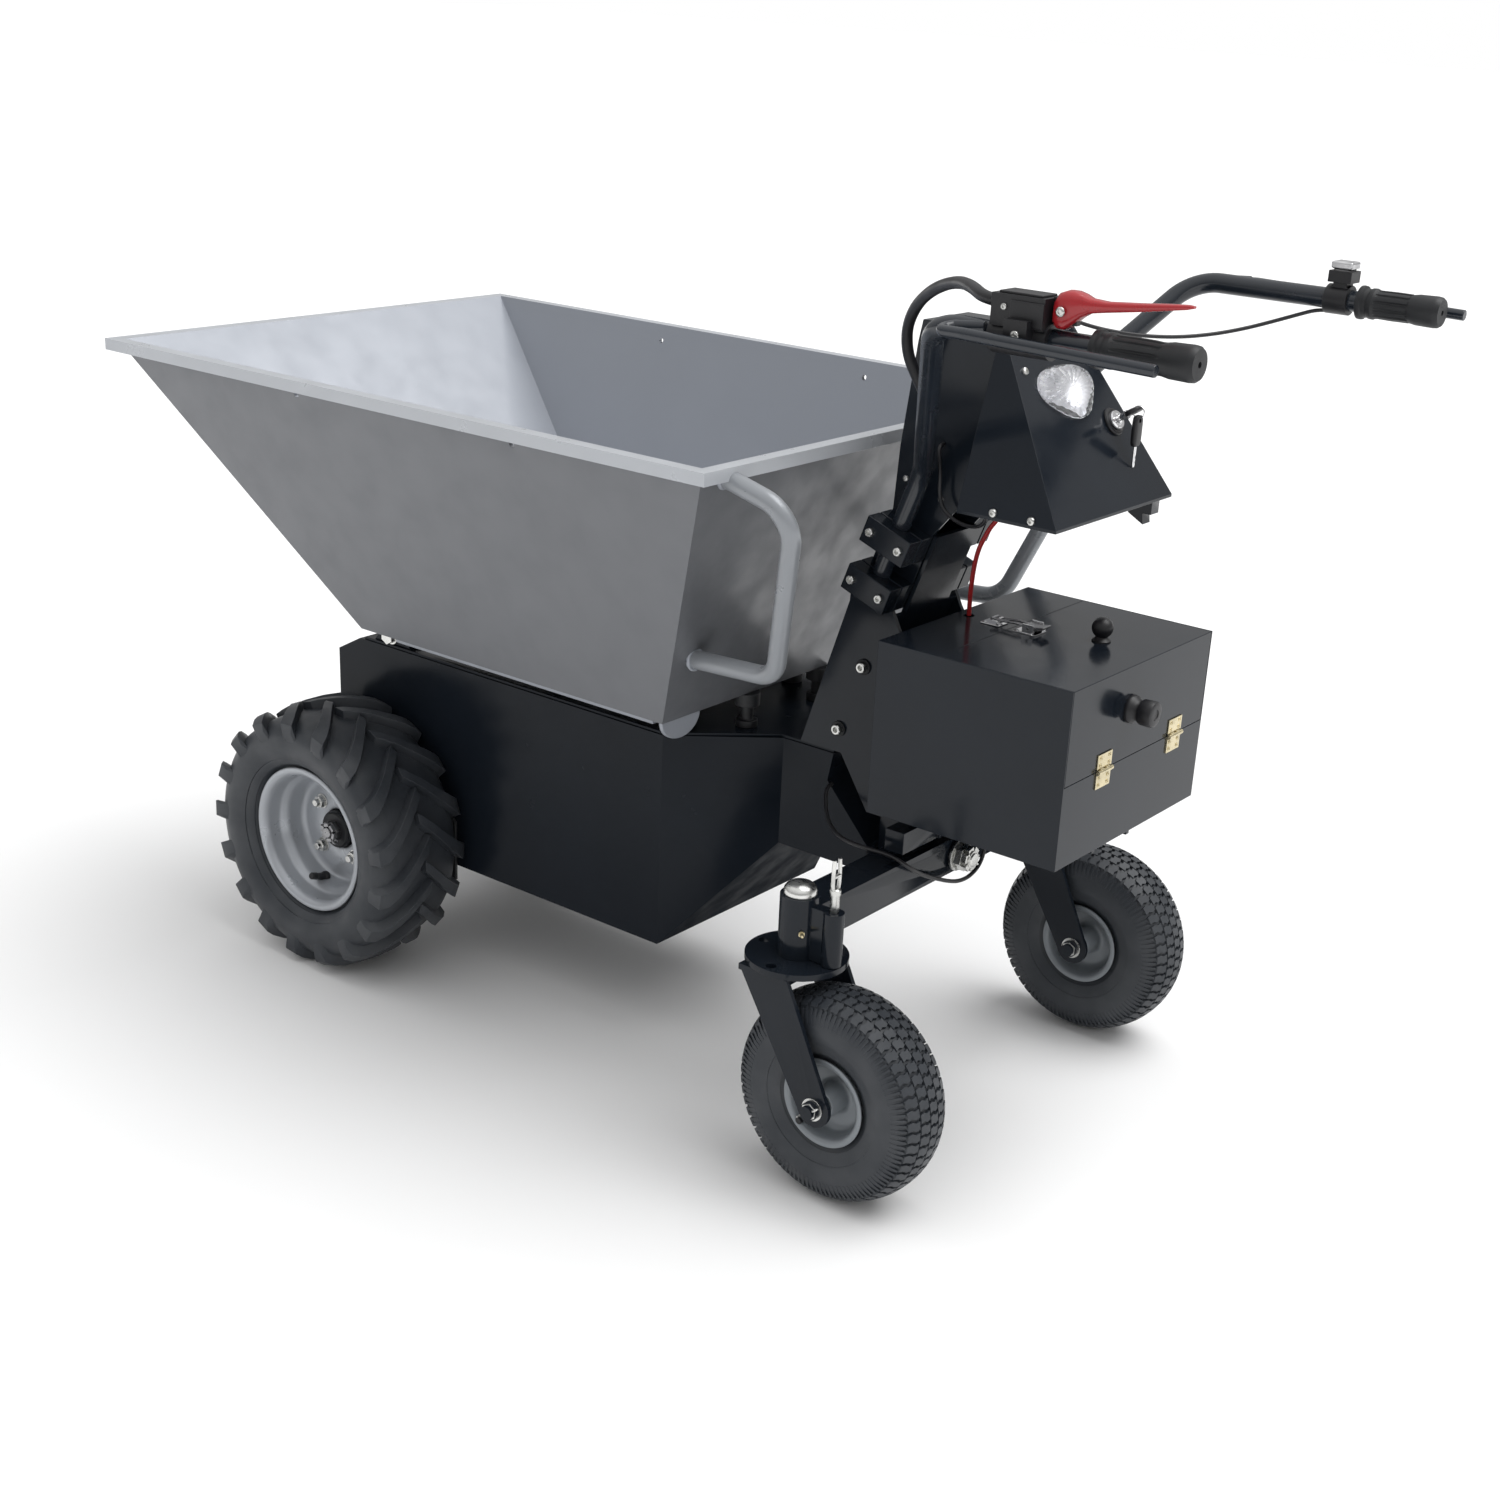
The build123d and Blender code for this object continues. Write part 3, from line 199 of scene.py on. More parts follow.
# keyed by slot: where the frame already holds a material of that name, Blender adds a number
MATERIALS = {mat.name.split(".")[0]: mat for mat in (
    paint("hopper_paint", (0.325, 0.345, 0.385), 0.4, 0.1, 0.15, 0.012, 0.02),
    paint("dark_paint", DARK, 0.17, 0.0, shine=0.26),
    paint("black_paint", (0.007, 0.008, 0.01), 0.4, 0.0, shine=0.3),
    metal("zinc", (0.66, 0.66, 0.64), 0.26),
    metal("steel", (0.36, 0.36, 0.37), 0.34, (1, 12, 1)),
    paint("cast", (0.03, 0.031, 0.034), 0.55, 0.1, peel=0.35),
    paint("rim_silver", (0.4, 0.42, 0.45), 0.34, 0.2, 0.35, 0.05, 0.05),
    paint("rim_grey", (0.22, 0.24, 0.26), 0.38, 0.2, 0.2, 0.05, 0.06),
    rubber("tyre", (0.027, 0.0315, 0.0385), 0.46, 700.0, 0.6),
    rubber("rubber", (0.008, 0.009, 0.011), 0.5, 500.0, 0.12),
    rubber("black_plastic", (0.008, 0.008, 0.01), 0.4, 1100.0, 0.1),
    paint("red_lever", (0.38, 0.012, 0.018), 0.3, 0.3),
    metal("brass", (0.66, 0.58, 0.38), 0.26, (1, 1, 10)),
    metal("chrome", (0.74, 0.74, 0.75), 0.12, depth=0.03, spread=0.04),
    glass("lens"),
    rubber("battery_case", (0.03, 0.03, 0.033), 0.45),
    metal("aluminium", (0.6, 0.6, 0.61), 0.35, (1, 10, 1)),
    rubber("red_cable", (0.35, 0.01, 0.012), 0.4, 900.0, 0.1))}
CHASSIS_PAINT = paint("chassis_paint", DARK, 0.22, 0.0, shine=0.14)
GLOSS_PAINT = paint("gloss_paint", shade(DARK, 1.1), 0.15, 0.0, shine=0.26)
TUBE_PAINT = paint("tube_paint", shade(DARK, 1.4), 0.24, 0.0, shine=0.6)
# darker copy of the hopper paint for the tub's outside and bottom: painted shade
HOPPER_OUTSIDE_PAINTED_SHADE = paint("hopper_outside_painted_shade", (0.15, 0.156, 0.169), 0.42, 0.1, 0.15, 0.012, 0.02)
# paler copy of the hopper paint for the rim: painted highlight
HOPPER_RIM_PAINTED_HIGHLIGHT = paint("hopper_rim", (0.46, 0.48, 0.51), 0.34, 0.1, 0.2, 0.008, 0.02)
HANDLE_PAINT = paint("handle_paint", (0.27, 0.285, 0.305), 0.32, 0.1, 0.2, 0.008, 0.02)
BELLY_PAINT = paint("belly_paint", DARK, 0.6, 0.0, shine=0.02)
REFLECTOR = metal("reflector", (0.95, 0.95, 0.99), 0.3, grain=300.0, depth=0.05, spread=0.02)
LATCH_STEEL = metal("latch_steel", (0.3, 0.3, 0.31), 0.2)
# nodes that wear another paint than their slot's own
PAINTS = {"chassis_shell": CHASSIS_PAINT, "chassis_top_plate": CHASSIS_PAINT,
          "hopper_handles": HANDLE_PAINT, "handlebar": TUBE_PAINT, "guard_rods": TUBE_PAINT}
PAINTS.update(dict.fromkeys(
    ("rear_beam", "caster_fork_left", "caster_fork_right", "column_head", "column_bracket",
     "clamp_blocks", "control_box", "battery_box", "battery_lid", "box_support"), GLOSS_PAINT))
NODE_SLOT = {row["node"]: row["material_slot"] for row in frame["record"]["subparts"]}
NODE_BODY = {node_name: body_name
             for body_name, node_names in frame["record"]["behaviour"]["bodies"].items()
             for node_name in node_names}

for node_name, node in frame["nodes"].items():
    node.data.materials.clear()
    node.data.materials.append(MATERIALS[NODE_SLOT[node_name]])


# ------------------------------ mesh helpers
def adopt(obj, body, slot, material=None, replaced=()):
    """Link an object, give it a material, let it ride on a body and stand for CAD nodes."""
    if obj.name not in bpy.context.scene.collection.objects:
        bpy.context.scene.collection.objects.link(obj)
    obj.data.materials.clear()
    obj.data.materials.append(material or MATERIALS[slot])
    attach(obj, body)
    if replaced:
        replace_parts(obj, *replaced)
    return obj


def object_from(name, bm, smooth=40):
    """Object from a bmesh, shaded smooth below an angle in degrees."""
    data = bpy.data.meshes.new(name)
    bmesh.ops.recalc_face_normals(bm, faces=bm.faces)
    bm.to_mesh(data)
    bm.free()
    data.shade_smooth()
    data.set_sharp_from_angle(angle=math.radians(smooth))
    return bpy.data.objects.new(name, data)


def add_bevel(obj, width, segments=2, angle=35):
    """Bevel modifier on hard edges, with normals weighted to the large faces."""
    bevel = obj.modifiers.new("edges", "BEVEL")
    bevel.width = width
    bevel.segments = segments
    bevel.limit_method = "ANGLE"
    bevel.angle_limit = math.radians(angle)
    bevel.harden_normals = True
    bevel.use_clamp_overlap = True
    return obj


def refine(name, node, width=0.0012, segments=2):
    """Stand-in for a CAD node with its own cleaned mesh and rounded edges."""
    bm = bmesh.new()
    bm.from_mesh(frame["nodes"][node].data)
    bmesh.ops.remove_doubles(bm, verts=bm.verts, dist=2e-5)
    bmesh.ops.dissolve_limit(bm, angle_limit=math.radians(0.8), verts=bm.verts, edges=bm.edges)
    obj = add_bevel(object_from(name, bm), width, segments)
    return adopt(obj, NODE_BODY[node], NODE_SLOT[node], PAINTS.get(node), (node,))


# ------------------------------ cords
# slot, radius in metres, control points in millimetres
CORDS = {
    "handle_loom": ("black_plastic", 0.007, [
        (-575.9, 291, 1118), (-550, 291, 1118), (-514, 262, 1124), (-474, 222, 1121),
        (-430, 184, 1111), (-386, 150, 1094), (-348, 120, 1070), (-324, 99, 1040),
        (-318, 84, 1006), (-325, 70, 978), (-332, 60, 956), (-336, 50, 940)]),
    "battery_lead": ("red_cable", 0.003, [
        (-432, 12, 844), (-432, 12, 834), (-428, 12, 822), (-420, 12, 810), (-411, 12, 798),
        (-404, 12, 784), (-397, 12, 768), (-391, 9, 744), (-387, 5, 720), (-384, 1, 700),
        (-384, 0, 677.2)]),
    "switch_cable": ("black_plastic", 0.0024, [
        (-675, -300, 1072), (-664, -299, 1071), (-646, -290, 1064), (-622, -274, 1054),
        (-594, -250, 1043), (-566, -220, 1035), (-538, -186, 1031), (-508, -148, 1032),
        (-480, -112, 1038), (-459, -84, 1046), (-446, -64, 1055), (-434, -50, 1063),
        (-424, -42, 1066), (-416, -38, 1060), (-414, -37, 1045.4)]),
    "beam_cable": ("black_plastic", 0.0028, [
        (-240, 75.1, 427), (-240, 86, 427), (-250, 102, 412), (-270, 122, 396), (-302, 142, 389),
        (-340, 153, 391), (-394, 150, 392), (-410, 136, 376), (-410, 100, 354), (-408, 66, 338),
        (-410, 36, 325), (-412, 12, 318), (-413, -14, 318), (-414, -36, 330), (-414, -44, 354),
        (-413, -40, 386), (-412, -34, 418), (-412, -32, 451.7)]),
    "column_cable": ("black_plastic", 0.0024, [
        (-358, 50, 900), (-358, 60, 900), (-363, 65, 885), (-367, 66, 865), (-366, 65, 844),
        (-372, 65, 826), (-387, 66, 815), (-406, 69, 811), (-425, 73, 812), (-440, 78, 818),
        (-446, 80, 829), (-446, 80, 843.9)]),
}


def nurbs_curve(name, points, radius):
    """Smooth tube whose NURBS control points are the given route."""
    curve = bpy.data.curves.new(name, "CURVE")
    curve.dimensions = "3D"
    curve.bevel_depth = radius
    curve.bevel_resolution = 4
    curve.resolution_u = 8
    curve.use_fill_caps = True
    spline = curve.splines.new("NURBS")
    spline.points.add(len(points) - 1)
    for point, at in zip(spline.points, points):
        point.co = (*at, 1)
    spline.order_u = 3
    spline.use_endpoint_u = True
    return bpy.data.objects.new(name, curve)


def run_length(obj):
    """Length of a curve object's own line."""
    bare = obj.data.copy()
    bare.bevel_depth = 0
    probe = bpy.data.objects.new("probe", bare)
    mesh = bpy.data.meshes.new_from_object(probe)
    total = sum((mesh.vertices[e.vertices[0]].co - mesh.vertices[e.vertices[1]].co).length
                for e in mesh.edges)
    bpy.data.meshes.remove(mesh)
    bpy.data.objects.remove(probe)
    bpy.data.curves.remove(bare)
    return total


for cord_name, (cord_slot, cord_radius, cord_route) in CORDS.items():
    cord_points = [tuple(c / 1000 for c in point) for point in cord_route]
    cable = nurbs_curve(cord_name + ".tube", cord_points, cord_radius)
    adopt(cable, "chassis", cord_slot, None, (cord_name,))
    run_length(cable)


# ------------------------------ shape helpers
def piece(name, bm, body, slot, bevel=0.0, segments=2, replaced=(), smooth=35, material=None):
    """Turn a bmesh into a finished piece that rides on a body and stands for CAD nodes."""
    bmesh.ops.remove_doubles(bm, verts=bm.verts, dist=1e-6)
    obj = object_from(name, bm, smooth)
    if bevel:
        add_bevel(obj, bevel, segments, smooth)
    adopt(obj, body, slot, material, replaced)


def angles(count):
    """Equal steps round a full turn."""
    return [2 * math.pi * k / count for k in range(count)]


def square_to(axis):
    """The axis as a unit vector, and two more that are square to it."""
    axis = Vector(axis).normalized()
    side = axis.orthogonal().normalized()
    return axis, side, axis.cross(side)


def skin(bm, rings, around=True, along=False):
    """Faces between neighbouring rows of points: around closes each row, along the whole set."""
    for first, second in zip(rings, rings[1:] + rings[:1] if along else rings[1:]):
        count = len(first)
        for k in range(count if around else count - 1):
            m = (k + 1) % count
            bm.faces.new((first[k], first[m], second[m], second[k]))


def close_ends(bm, rings):
    """Flat faces over the first and the last row of points."""
    bm.faces.new(list(reversed(rings[0])))
    bm.faces.new(rings[-1])


def lathe(bm, origin, axis, profile, segments):
    """Surface of revolution; profile is a list of (distance along the axis, radius)."""
    axis, side, other = square_to(axis)
    rings = []
    for a in angles(segments):
        out = side * math.cos(a) + other * math.sin(a)
        rings.append([bm.verts.new(Vector(origin) + axis * u + out * r) for u, r in profile])
    for ring, following in zip(rings, rings[1:] + rings[:1]):
        for k in range(len(profile)):
            m = (k + 1) % len(profile)
            if profile[k][1] or profile[m][1]:
                bm.faces.new((ring[k], ring[m], following[m], following[k]))


def pin(bm, at, axis, radius, length, segments):
    """Plain round pin or washer with flat ends."""
    lathe(bm, at, axis, [(0, 0), (0, radius), (length, radius), (length, 0)], segments)


def prism(bm, outline, depth):
    """Closed prism: outline is a list of points, depth the vector to the far face."""
    near = [bm.verts.new(Vector(p)) for p in outline]
    far = [bm.verts.new(Vector(p) + Vector(depth)) for p in outline]
    skin(bm, [near, far])
    close_ends(bm, [near, far])


def block(bm, low, high):
    """Box between two corners."""
    x0, y0, z0 = low
    x1, y1, z1 = high
    prism(bm, [(x0, y0, z0), (x1, y0, z0), (x1, y1, z0), (x0, y1, z0)], (0, 0, z1 - z0))


def hexagon(bm, at, axis, radius, height, turn=0.0):
    """Hexagonal prism standing on a point along an axis."""
    axis, side, other = square_to(axis)
    prism(bm, [Vector(at) + radius * (side * math.cos(turn + a) + other * math.sin(turn + a))
               for a in angles(6)], axis * height)


def glide(before, start, end, after, t):
    """Point of a smooth line from start to end, led by the points before and after them."""
    return 0.5 * (2 * start + (end - before) * t
                  + (2 * before - 5 * start + 4 * end - after) * t * t
                  + (3 * start - before - 3 * end + after) * t ** 3)


def rod(bm, points, radius, sides=12, steps=4):
    """Round wire or bar along a smooth line through the given points."""
    points = [Vector(point) for point in points]
    led = points[:1] + points + points[-1:]
    line = [glide(*led[i:i + 4], k / steps) for i in range(len(points) - 1) for k in range(steps)]
    line.append(points[-1])
    side = square_to(line[1] - line[0])[1]
    rings = []
    for i, at in enumerate(line):
        ahead = (line[min(i + 1, len(line) - 1)] - line[max(i - 1, 0)]).normalized()
        side = (side - ahead * side.dot(ahead)).normalized()
        other = ahead.cross(side)
        rings.append([bm.verts.new(at + radius * (side * math.cos(a) + other * math.sin(a)))
                      for a in angles(sides)])
    skin(bm, rings)
    close_ends(bm, rings)


def button_head(bm, at, axis, radius, height):
    """Domed socket screw head: rounded edge and a hexagon socket sunk in the middle."""
    lathe(bm, at, axis, [(0, radius), (height * 0.45, radius), (height * 0.8, radius * 0.88),
                         (height, radius * 0.62), (height, radius * 0.46),
                         (height * 0.35, radius * 0.42), (height * 0.35, 0), (0, 0)], 24)


def socket_cap(bm, at, axis, radius, height):
    """Cap screw: straight head with a rounded edge and a deep socket."""
    lathe(bm, at, axis, [(0, radius), (height * 0.82, radius), (height, radius * 0.86),
                         (height, radius * 0.56), (height * 0.25, radius * 0.5),
                         (height * 0.25, 0), (0, 0)], 28)


def hex_bolt(bm, at, axis, radius, height, washer, turn):
    """Hexagon head with a chamfered crown on a washer of its own radius."""
    axis = Vector(axis).normalized()
    thick = 0.0016
    pin(bm, at, axis, washer, thick, 32)
    at = at + axis * thick
    hexagon(bm, at, axis, radius, height, turn)
    lathe(bm, at + axis * height, axis, [(-0.0002, radius * 0.82), (0.0008, radius * 0.7),
                                         (0.0008, 0), (-0.0002, 0)], 24)


def castle_nut(bm, at, axis, radius, height):
    """Slotted nut: hexagon below, six merlons above, with a stud end inside."""
    axis, side, other = square_to(axis)
    hexagon(bm, at, axis, radius, height * 0.6)
    base = Vector(at) + axis * height * 0.6
    for a in angles(6):
        a += math.radians(30)
        out = side * math.cos(a) + other * math.sin(a)
        along = axis.cross(out)
        prism(bm, [base + out * radius * u + along * radius * v
                   for u, v in ((0.55, -0.3), (0.86, -0.3), (0.86, 0.3), (0.55, 0.3))],
              axis * height * 0.4)
    lathe(bm, Vector(at) + axis * height * 0.5, axis,
          [(0, 0), (0, radius * 0.5), (height * 0.62, radius * 0.5), (height * 0.7, radius * 0.42),
           (height * 0.7, 0)], 24)


def cotter(bm, at, along, up, size):
    """Split pin: eye on one side, two bent legs on the other."""
    along, up, at = Vector(along).normalized() * size, Vector(up).normalized() * size, Vector(at)
    wire = size * 0.11
    for reach, spread in ((1.15, 0.6), (1.1, -0.5)):
        rod(bm, [at - along, at, at + along * 0.9, at + along * reach + up * spread], wire, 8)
    eye = [at - along * (1.3 + 0.35 * math.cos(a)) + up * 0.32 * math.sin(a) for a in angles(10)]
    rod(bm, eye + eye[:1], wire, 8, 2)


def on_wheel(centre, angle, radius, y):
    """Point on a wheel; the angle runs from the rear over the top to the front."""
    return Vector((centre[0] - radius * math.cos(angle), y, centre[2] + radius * math.sin(angle)))


def signed_power(value, power):
    """A power that keeps the sign: below one it makes a circle squarer."""
    return math.copysign(abs(value) ** power, value)


def moulded_head(bm, hole, right, up, half_size, lift, hole_r, half_thick, squareness):
    """Plastic key head with a round hole: softened oval or rounded oblong, chamfered edges."""
    right, up = Vector(right), Vector(up)
    through = right.cross(up)
    circle = [(math.sin(a), math.cos(a)) for a in angles(40)]
    layers = []
    for depth, shrink in ((-1, 0.0012), (-0.65, 0), (0.65, 0), (1, 0.0012)):
        layer = []
        for across, along in circle:
            side = signed_power(across, squareness) * (half_size[0] - shrink)
            rise = signed_power(along, squareness) * (half_size[1] - shrink) + lift
            layer.append(bm.verts.new(hole + right * side + up * rise
                                      + through * depth * half_thick))
        layers.append(layer)
    for depth in (1, -1):
        layers.append([bm.verts.new(hole + (right * a + up * b) * hole_r
                                    + through * depth * half_thick) for a, b in circle])
    skin(bm, layers, along=True)


def tyre_carcass(bm, centre, section, half_width, segments):
    """Tyre body: section is half of it, as (share of the half width, radius)."""
    full = [(-t, r) for t, r in reversed(section)] + section[1:]
    lathe(bm, centre, (0, 1, 0), [(t * half_width, r) for t, r in full], segments)


def tread_row(bm, centre, angle, y, inset, foot, top):
    """Section through a tread bar: foot and top are (half its angle, radius)."""
    return [bm.verts.new(on_wheel(centre, angle + turn, radius, at))
            for turn, radius, at in ((-foot[0], foot[1], y - inset), (-top[0], top[1], y),
                                     (top[0], top[1], y), (foot[0], foot[1], y - inset))]


# ------------------------------ drive wheels
LUGS = 17
# half of the tyre's section: (share of the half width, radius)
CARCASS = [(0.0, 0.1866), (0.35, 0.1862), (0.62, 0.184), (0.8, 0.1795), (0.91, 0.171),
           (0.955, 0.16), (0.965, 0.148), (0.94, 0.137), (0.89, 0.129), (0.875, 0.127),
           (0.86, 0.1272), (0.85, 0.125), (0.8, 0.119), (0.76, 0.1165), (0.745, 0.1172),
           (0.72, 0.116), (0.655, 0.1125), (0.655, 0.104), (0.6, 0.1007)]
# along a lug: share of the half width, foot and top radius, lag, half angles of foot and top
LUG_STATIONS = [
    (-0.085, 0.184, 0.1978, 0.0, 0.062, 0.042), (0.02, 0.185, 0.1992, 0.04, 0.066, 0.046),
    (0.25, 0.185, 0.1996, 0.135, 0.068, 0.048), (0.48, 0.184, 0.199, 0.235, 0.071, 0.051),
    (0.7, 0.1815, 0.1972, 0.32, 0.077, 0.057), (0.86, 0.175, 0.193, 0.372, 0.084, 0.064),
    (0.985, 0.166, 0.185, 0.398, 0.088, 0.066), (0.998, 0.158, 0.172, 0.405, 0.078, 0.052),
    (0.955, 0.15, 0.156, 0.41, 0.062, 0.04)]


def drive_tyre(side, s):
    """Lugged tyre: carcass of revolution with two staggered rows of curved bars."""
    bm = bmesh.new()
    tyre_carcass(bm, (AXLE.x, s * DRIVE_Y, AXLE.z), CARCASS, DRIVE_HALF, 120)
    for half in (1, -1):
        for i in range(LUGS):
            start = 2 * math.pi * (i + (0.5 if half > 0 else 0.0)) / LUGS
            rows = []
            for share, base, top, lag, wide, narrow in LUG_STATIONS:
                y = s * DRIVE_Y + half * share * DRIVE_HALF
                inset = half * 0.004 if share > 0.9 else 0.0
                rows.append(tread_row(bm, AXLE, start - lag, y, inset, (wide, base - 0.002),
                                      (narrow, top)))
            skin(bm, rows)
            close_ends(bm, rows)
    piece(f"drive_tyre.{side}.lugged", bm, f"drive_wheel_{side}", "tyre", 0.0014, 2,
          (f"drive_tyre_{side}",), 30)


def drive_rim(side, s):
    """Deep-dished rim with rolled flanges, two barrel steps and a flat disc."""
    bm = bmesh.new()
    steps = [(-0.062, 0.1085), (-0.0605, 0.1108), (-0.058, 0.111), (-0.0565, 0.1085),
             (-0.0545, 0.101), (0.0545, 0.101), (0.0565, 0.1085), (0.058, 0.111),
             (0.0605, 0.1108), (0.062, 0.108), (0.0605, 0.103), (0.057, 0.0985), (0.049, 0.0965),
             (0.036, 0.0955), (0.031, 0.093), (0.028, 0.088), (0.019, 0.0855), (0.005, 0.0845),
             (-0.001, 0.0825), (-0.0035, 0.077), (-0.003, 0.07), (-0.001, 0.066),
             (-0.001, 0.035), (-0.003, 0.031), (-0.0075, 0.03), (-0.008, 0.075),
             (-0.012, 0.085), (-0.024, 0.0885), (-0.03, 0.0965), (-0.058, 0.0985)]
    centre = Vector((AXLE.x, s * DRIVE_Y, AXLE.z))
    out = Vector((0, s, 0))
    lathe(bm, centre, out, steps, 96)
    piece(f"drive_rim.{side}.dish", bm, f"drive_wheel_{side}", "rim_silver", 0.0006, 2,
          (f"drive_rim_{side}",), 50)
    # wheel bolts with washers, seated on the disc
    bm = bmesh.new()
    for i in range(4):
        a = math.radians(45 + 90 * i)
        at = centre + Vector((0.05 * math.cos(a), -s * 0.001, 0.05 * math.sin(a)))
        hex_bolt(bm, at, out, 0.0098, 0.0075, 0.0115, 0.3 * i)
        lathe(bm, at + out * 0.009, out,
              [(0, 0), (0, 0.0058), (0.0062, 0.0058), (0.007, 0.0048), (0.007, 0)], 20)
    piece(f"wheel_bolts.{side}", bm, f"drive_wheel_{side}", "zinc", 0.0005, 2)
    # black hub behind and through the disc, with the slotted axle nut
    bm = bmesh.new()
    lathe(bm, centre, out,
          [(-0.216, 0.0148), (-0.06, 0.0148), (-0.06, 0.026), (-0.02, 0.026), (-0.018, 0.064),
           (-0.0085, 0.064), (-0.0085, 0.0285), (0.006, 0.0285), (0.0085, 0.026), (0.0085, 0),
           (-0.216, 0)], 48)
    piece(f"drive_hub.{side}.turned", bm, f"drive_wheel_{side}", "steel", 0.0008, 2,
          (f"drive_hub_{side}",), material=MATERIALS["black_paint"])
    bm = bmesh.new()
    castle_nut(bm, centre + out * 0.0085, out, 0.0165, 0.0135)
    cotter(bm, centre + out * 0.0175, (0.7, 0, 0.7), out, 0.013)
    piece(f"axle_nut.{side}", bm, f"drive_wheel_{side}", "steel", 0.0005, 1)
    # rubber valve on the barrel
    bm = bmesh.new()
    a = math.radians(-75)
    foot = centre + Vector((0.085 * math.cos(a), s * 0.01, 0.085 * math.sin(a)))
    lean = Vector((-0.35 * math.cos(a), s * 0.9, -0.35 * math.sin(a)))
    lathe(bm, foot, lean, [(-0.002, 0), (-0.002, 0.0085), (0.003, 0.0082), (0.006, 0.0056),
                           (0.02, 0.0048), (0.021, 0.0056), (0.031, 0.0054), (0.0325, 0.004),
                           (0.0325, 0)], 24)
    piece(f"valve.{side}", bm, f"drive_wheel_{side}", "black_plastic", 0.0004, 1)


# ------------------------------ casters
BLOCKS = 54
CASTER_SECTION = [(0.0, 0.1355), (0.3, 0.135), (0.55, 0.1318), (0.74, 0.127), (0.86, 0.1215),
                  (0.93, 0.115), (0.975, 0.105), (0.985, 0.095), (0.965, 0.085), (0.945, 0.082),
                  (0.935, 0.0822), (0.92, 0.08), (0.86, 0.071), (0.8, 0.0655), (0.785, 0.0662),
                  (0.765, 0.065), (0.7, 0.06), (0.66, 0.056), (0.5, 0.0512)]
# one tread block, in shares of its cell: along the width, round the wheel
BLOCK_SHAPE = [(-0.46, -0.3), (-0.14, -0.44), (0.14, -0.28), (0.46, -0.4), (0.44, -0.02),
               (0.46, 0.3), (0.14, 0.44), (-0.14, 0.28), (-0.46, 0.4), (-0.44, 0.02)]
# along a shoulder rib: share of the half width, foot and top radius
RIB_STATIONS = [(0.85, 0.12, 0.1268), (0.925, 0.114, 0.1185), (0.975, 0.106, 0.1068)]


def tread_top(share):
    """Radius of the caster tread surface across the width."""
    return 0.1396 - 0.0088 * abs(share / 0.74) ** 2.4


def caster_tyre(side, s):
    """Turf tyre: carcass with five rows of interlocking blocks and fine shoulder ribs."""
    bm = bmesh.new()
    centre = Vector((CASTER_X, s * KING_Y, CASTER_R))
    tyre_carcass(bm, centre, CASTER_SECTION, CASTER_HALF, 108)
    cell_w, cell_a = 0.335, 2 * math.pi / BLOCKS
    for row in range(5):
        for i in range(BLOCKS):
            middle, angle = (row - 2) * cell_w, (i + 0.5 * (row % 2)) * cell_a
            low, high = [], []
            for u, v in BLOCK_SHAPE:
                t = middle + u * cell_w
                phi = angle + v * cell_a
                y = centre.y + t * CASTER_HALF
                low.append(bm.verts.new(on_wheel(centre, phi, tread_top(t) - 0.0062, y)))
                high.append(bm.verts.new(on_wheel(centre, phi, tread_top(t), y)))
            bm.faces.new(high)
            skin(bm, [low, high])
    for half in (1, -1):
        for i in range(2 * BLOCKS):
            rows = [tread_row(bm, centre, (i + 0.25) * cell_a / 2,
                              centre.y + half * share * CASTER_HALF, half * 0.002,
                              (0.017, base), (0.014, top)) for share, base, top in RIB_STATIONS]
            skin(bm, rows, around=False)
            close_ends(bm, rows)
    piece(f"caster_tyre.{side}.turf", bm, f"caster_wheel_{side}", "tyre", 0.0005, 1,
          (f"caster_tyre_{side}",), 30)


def caster_rim(side, s):
    """Two-piece pressed rim with rolled lips, hub tube, bearing caps and a valve."""
    bm = bmesh.new()
    centre = Vector((CASTER_X, s * KING_Y, CASTER_R))
    half = [(0.036, 0.0505), (0.0375, 0.057), (0.0385, 0.0592), (0.0402, 0.0592), (0.0412, 0.057),
            (0.0405, 0.053), (0.038, 0.05), (0.03, 0.048), (0.02, 0.047), (0.015, 0.044),
            (0.0125, 0.038), (0.011, 0.026), (0.0125, 0.0215), (0.016, 0.02), (0.044, 0.0196),
            (0.0455, 0.0185), (0.0455, 0.012), (0.0435, 0.011), (0.0435, 0.0082)]
    steps = half + [(-u, r) for u, r in reversed(half)]
    lathe(bm, centre, (0, 1, 0), steps, 72)
    piece(f"caster_rim.{side}.pressed", bm, f"caster_wheel_{side}", "rim_grey", 0.0005, 2,
          (f"caster_rim_{side}",), 50)
    bm = bmesh.new()
    foot = centre + Vector((0.03, s * 0.014, -0.034))
    lathe(bm, foot, (0.1, s, -0.1), [(0, 0), (0, 0.007), (0.004, 0.006), (0.006, 0.0045),
                                     (0.022, 0.004), (0.023, 0.0048), (0.029, 0.0046),
                                     (0.03, 0)], 20)
    piece(f"caster_valve.{side}", bm, f"caster_wheel_{side}", "black_plastic", 0.0003, 1)
    # axle bolt head, nut, washers and split pin, on the fork
    bm = bmesh.new()
    for out in (1, -1):
        at = centre + Vector((0, out * 0.0602, 0))
        hex_bolt(bm, at, (0, out, 0), 0.0112, 0.0068, 0.015, 0.2)
        lathe(bm, at + Vector((0, out * 0.0082, 0)), (0, out, 0),
              [(0, 0), (0, 0.006), (0.0048, 0.006), (0.0055, 0.005), (0.0055, 0)], 20)
    cotter(bm, centre + Vector((0, s * 0.0708, 0)), (0.8, 0, -0.55), (0, s, 0), 0.011)
    piece(f"caster_axle_nuts.{side}", bm, f"caster_fork_{side}", "zinc", 0.0004, 2)


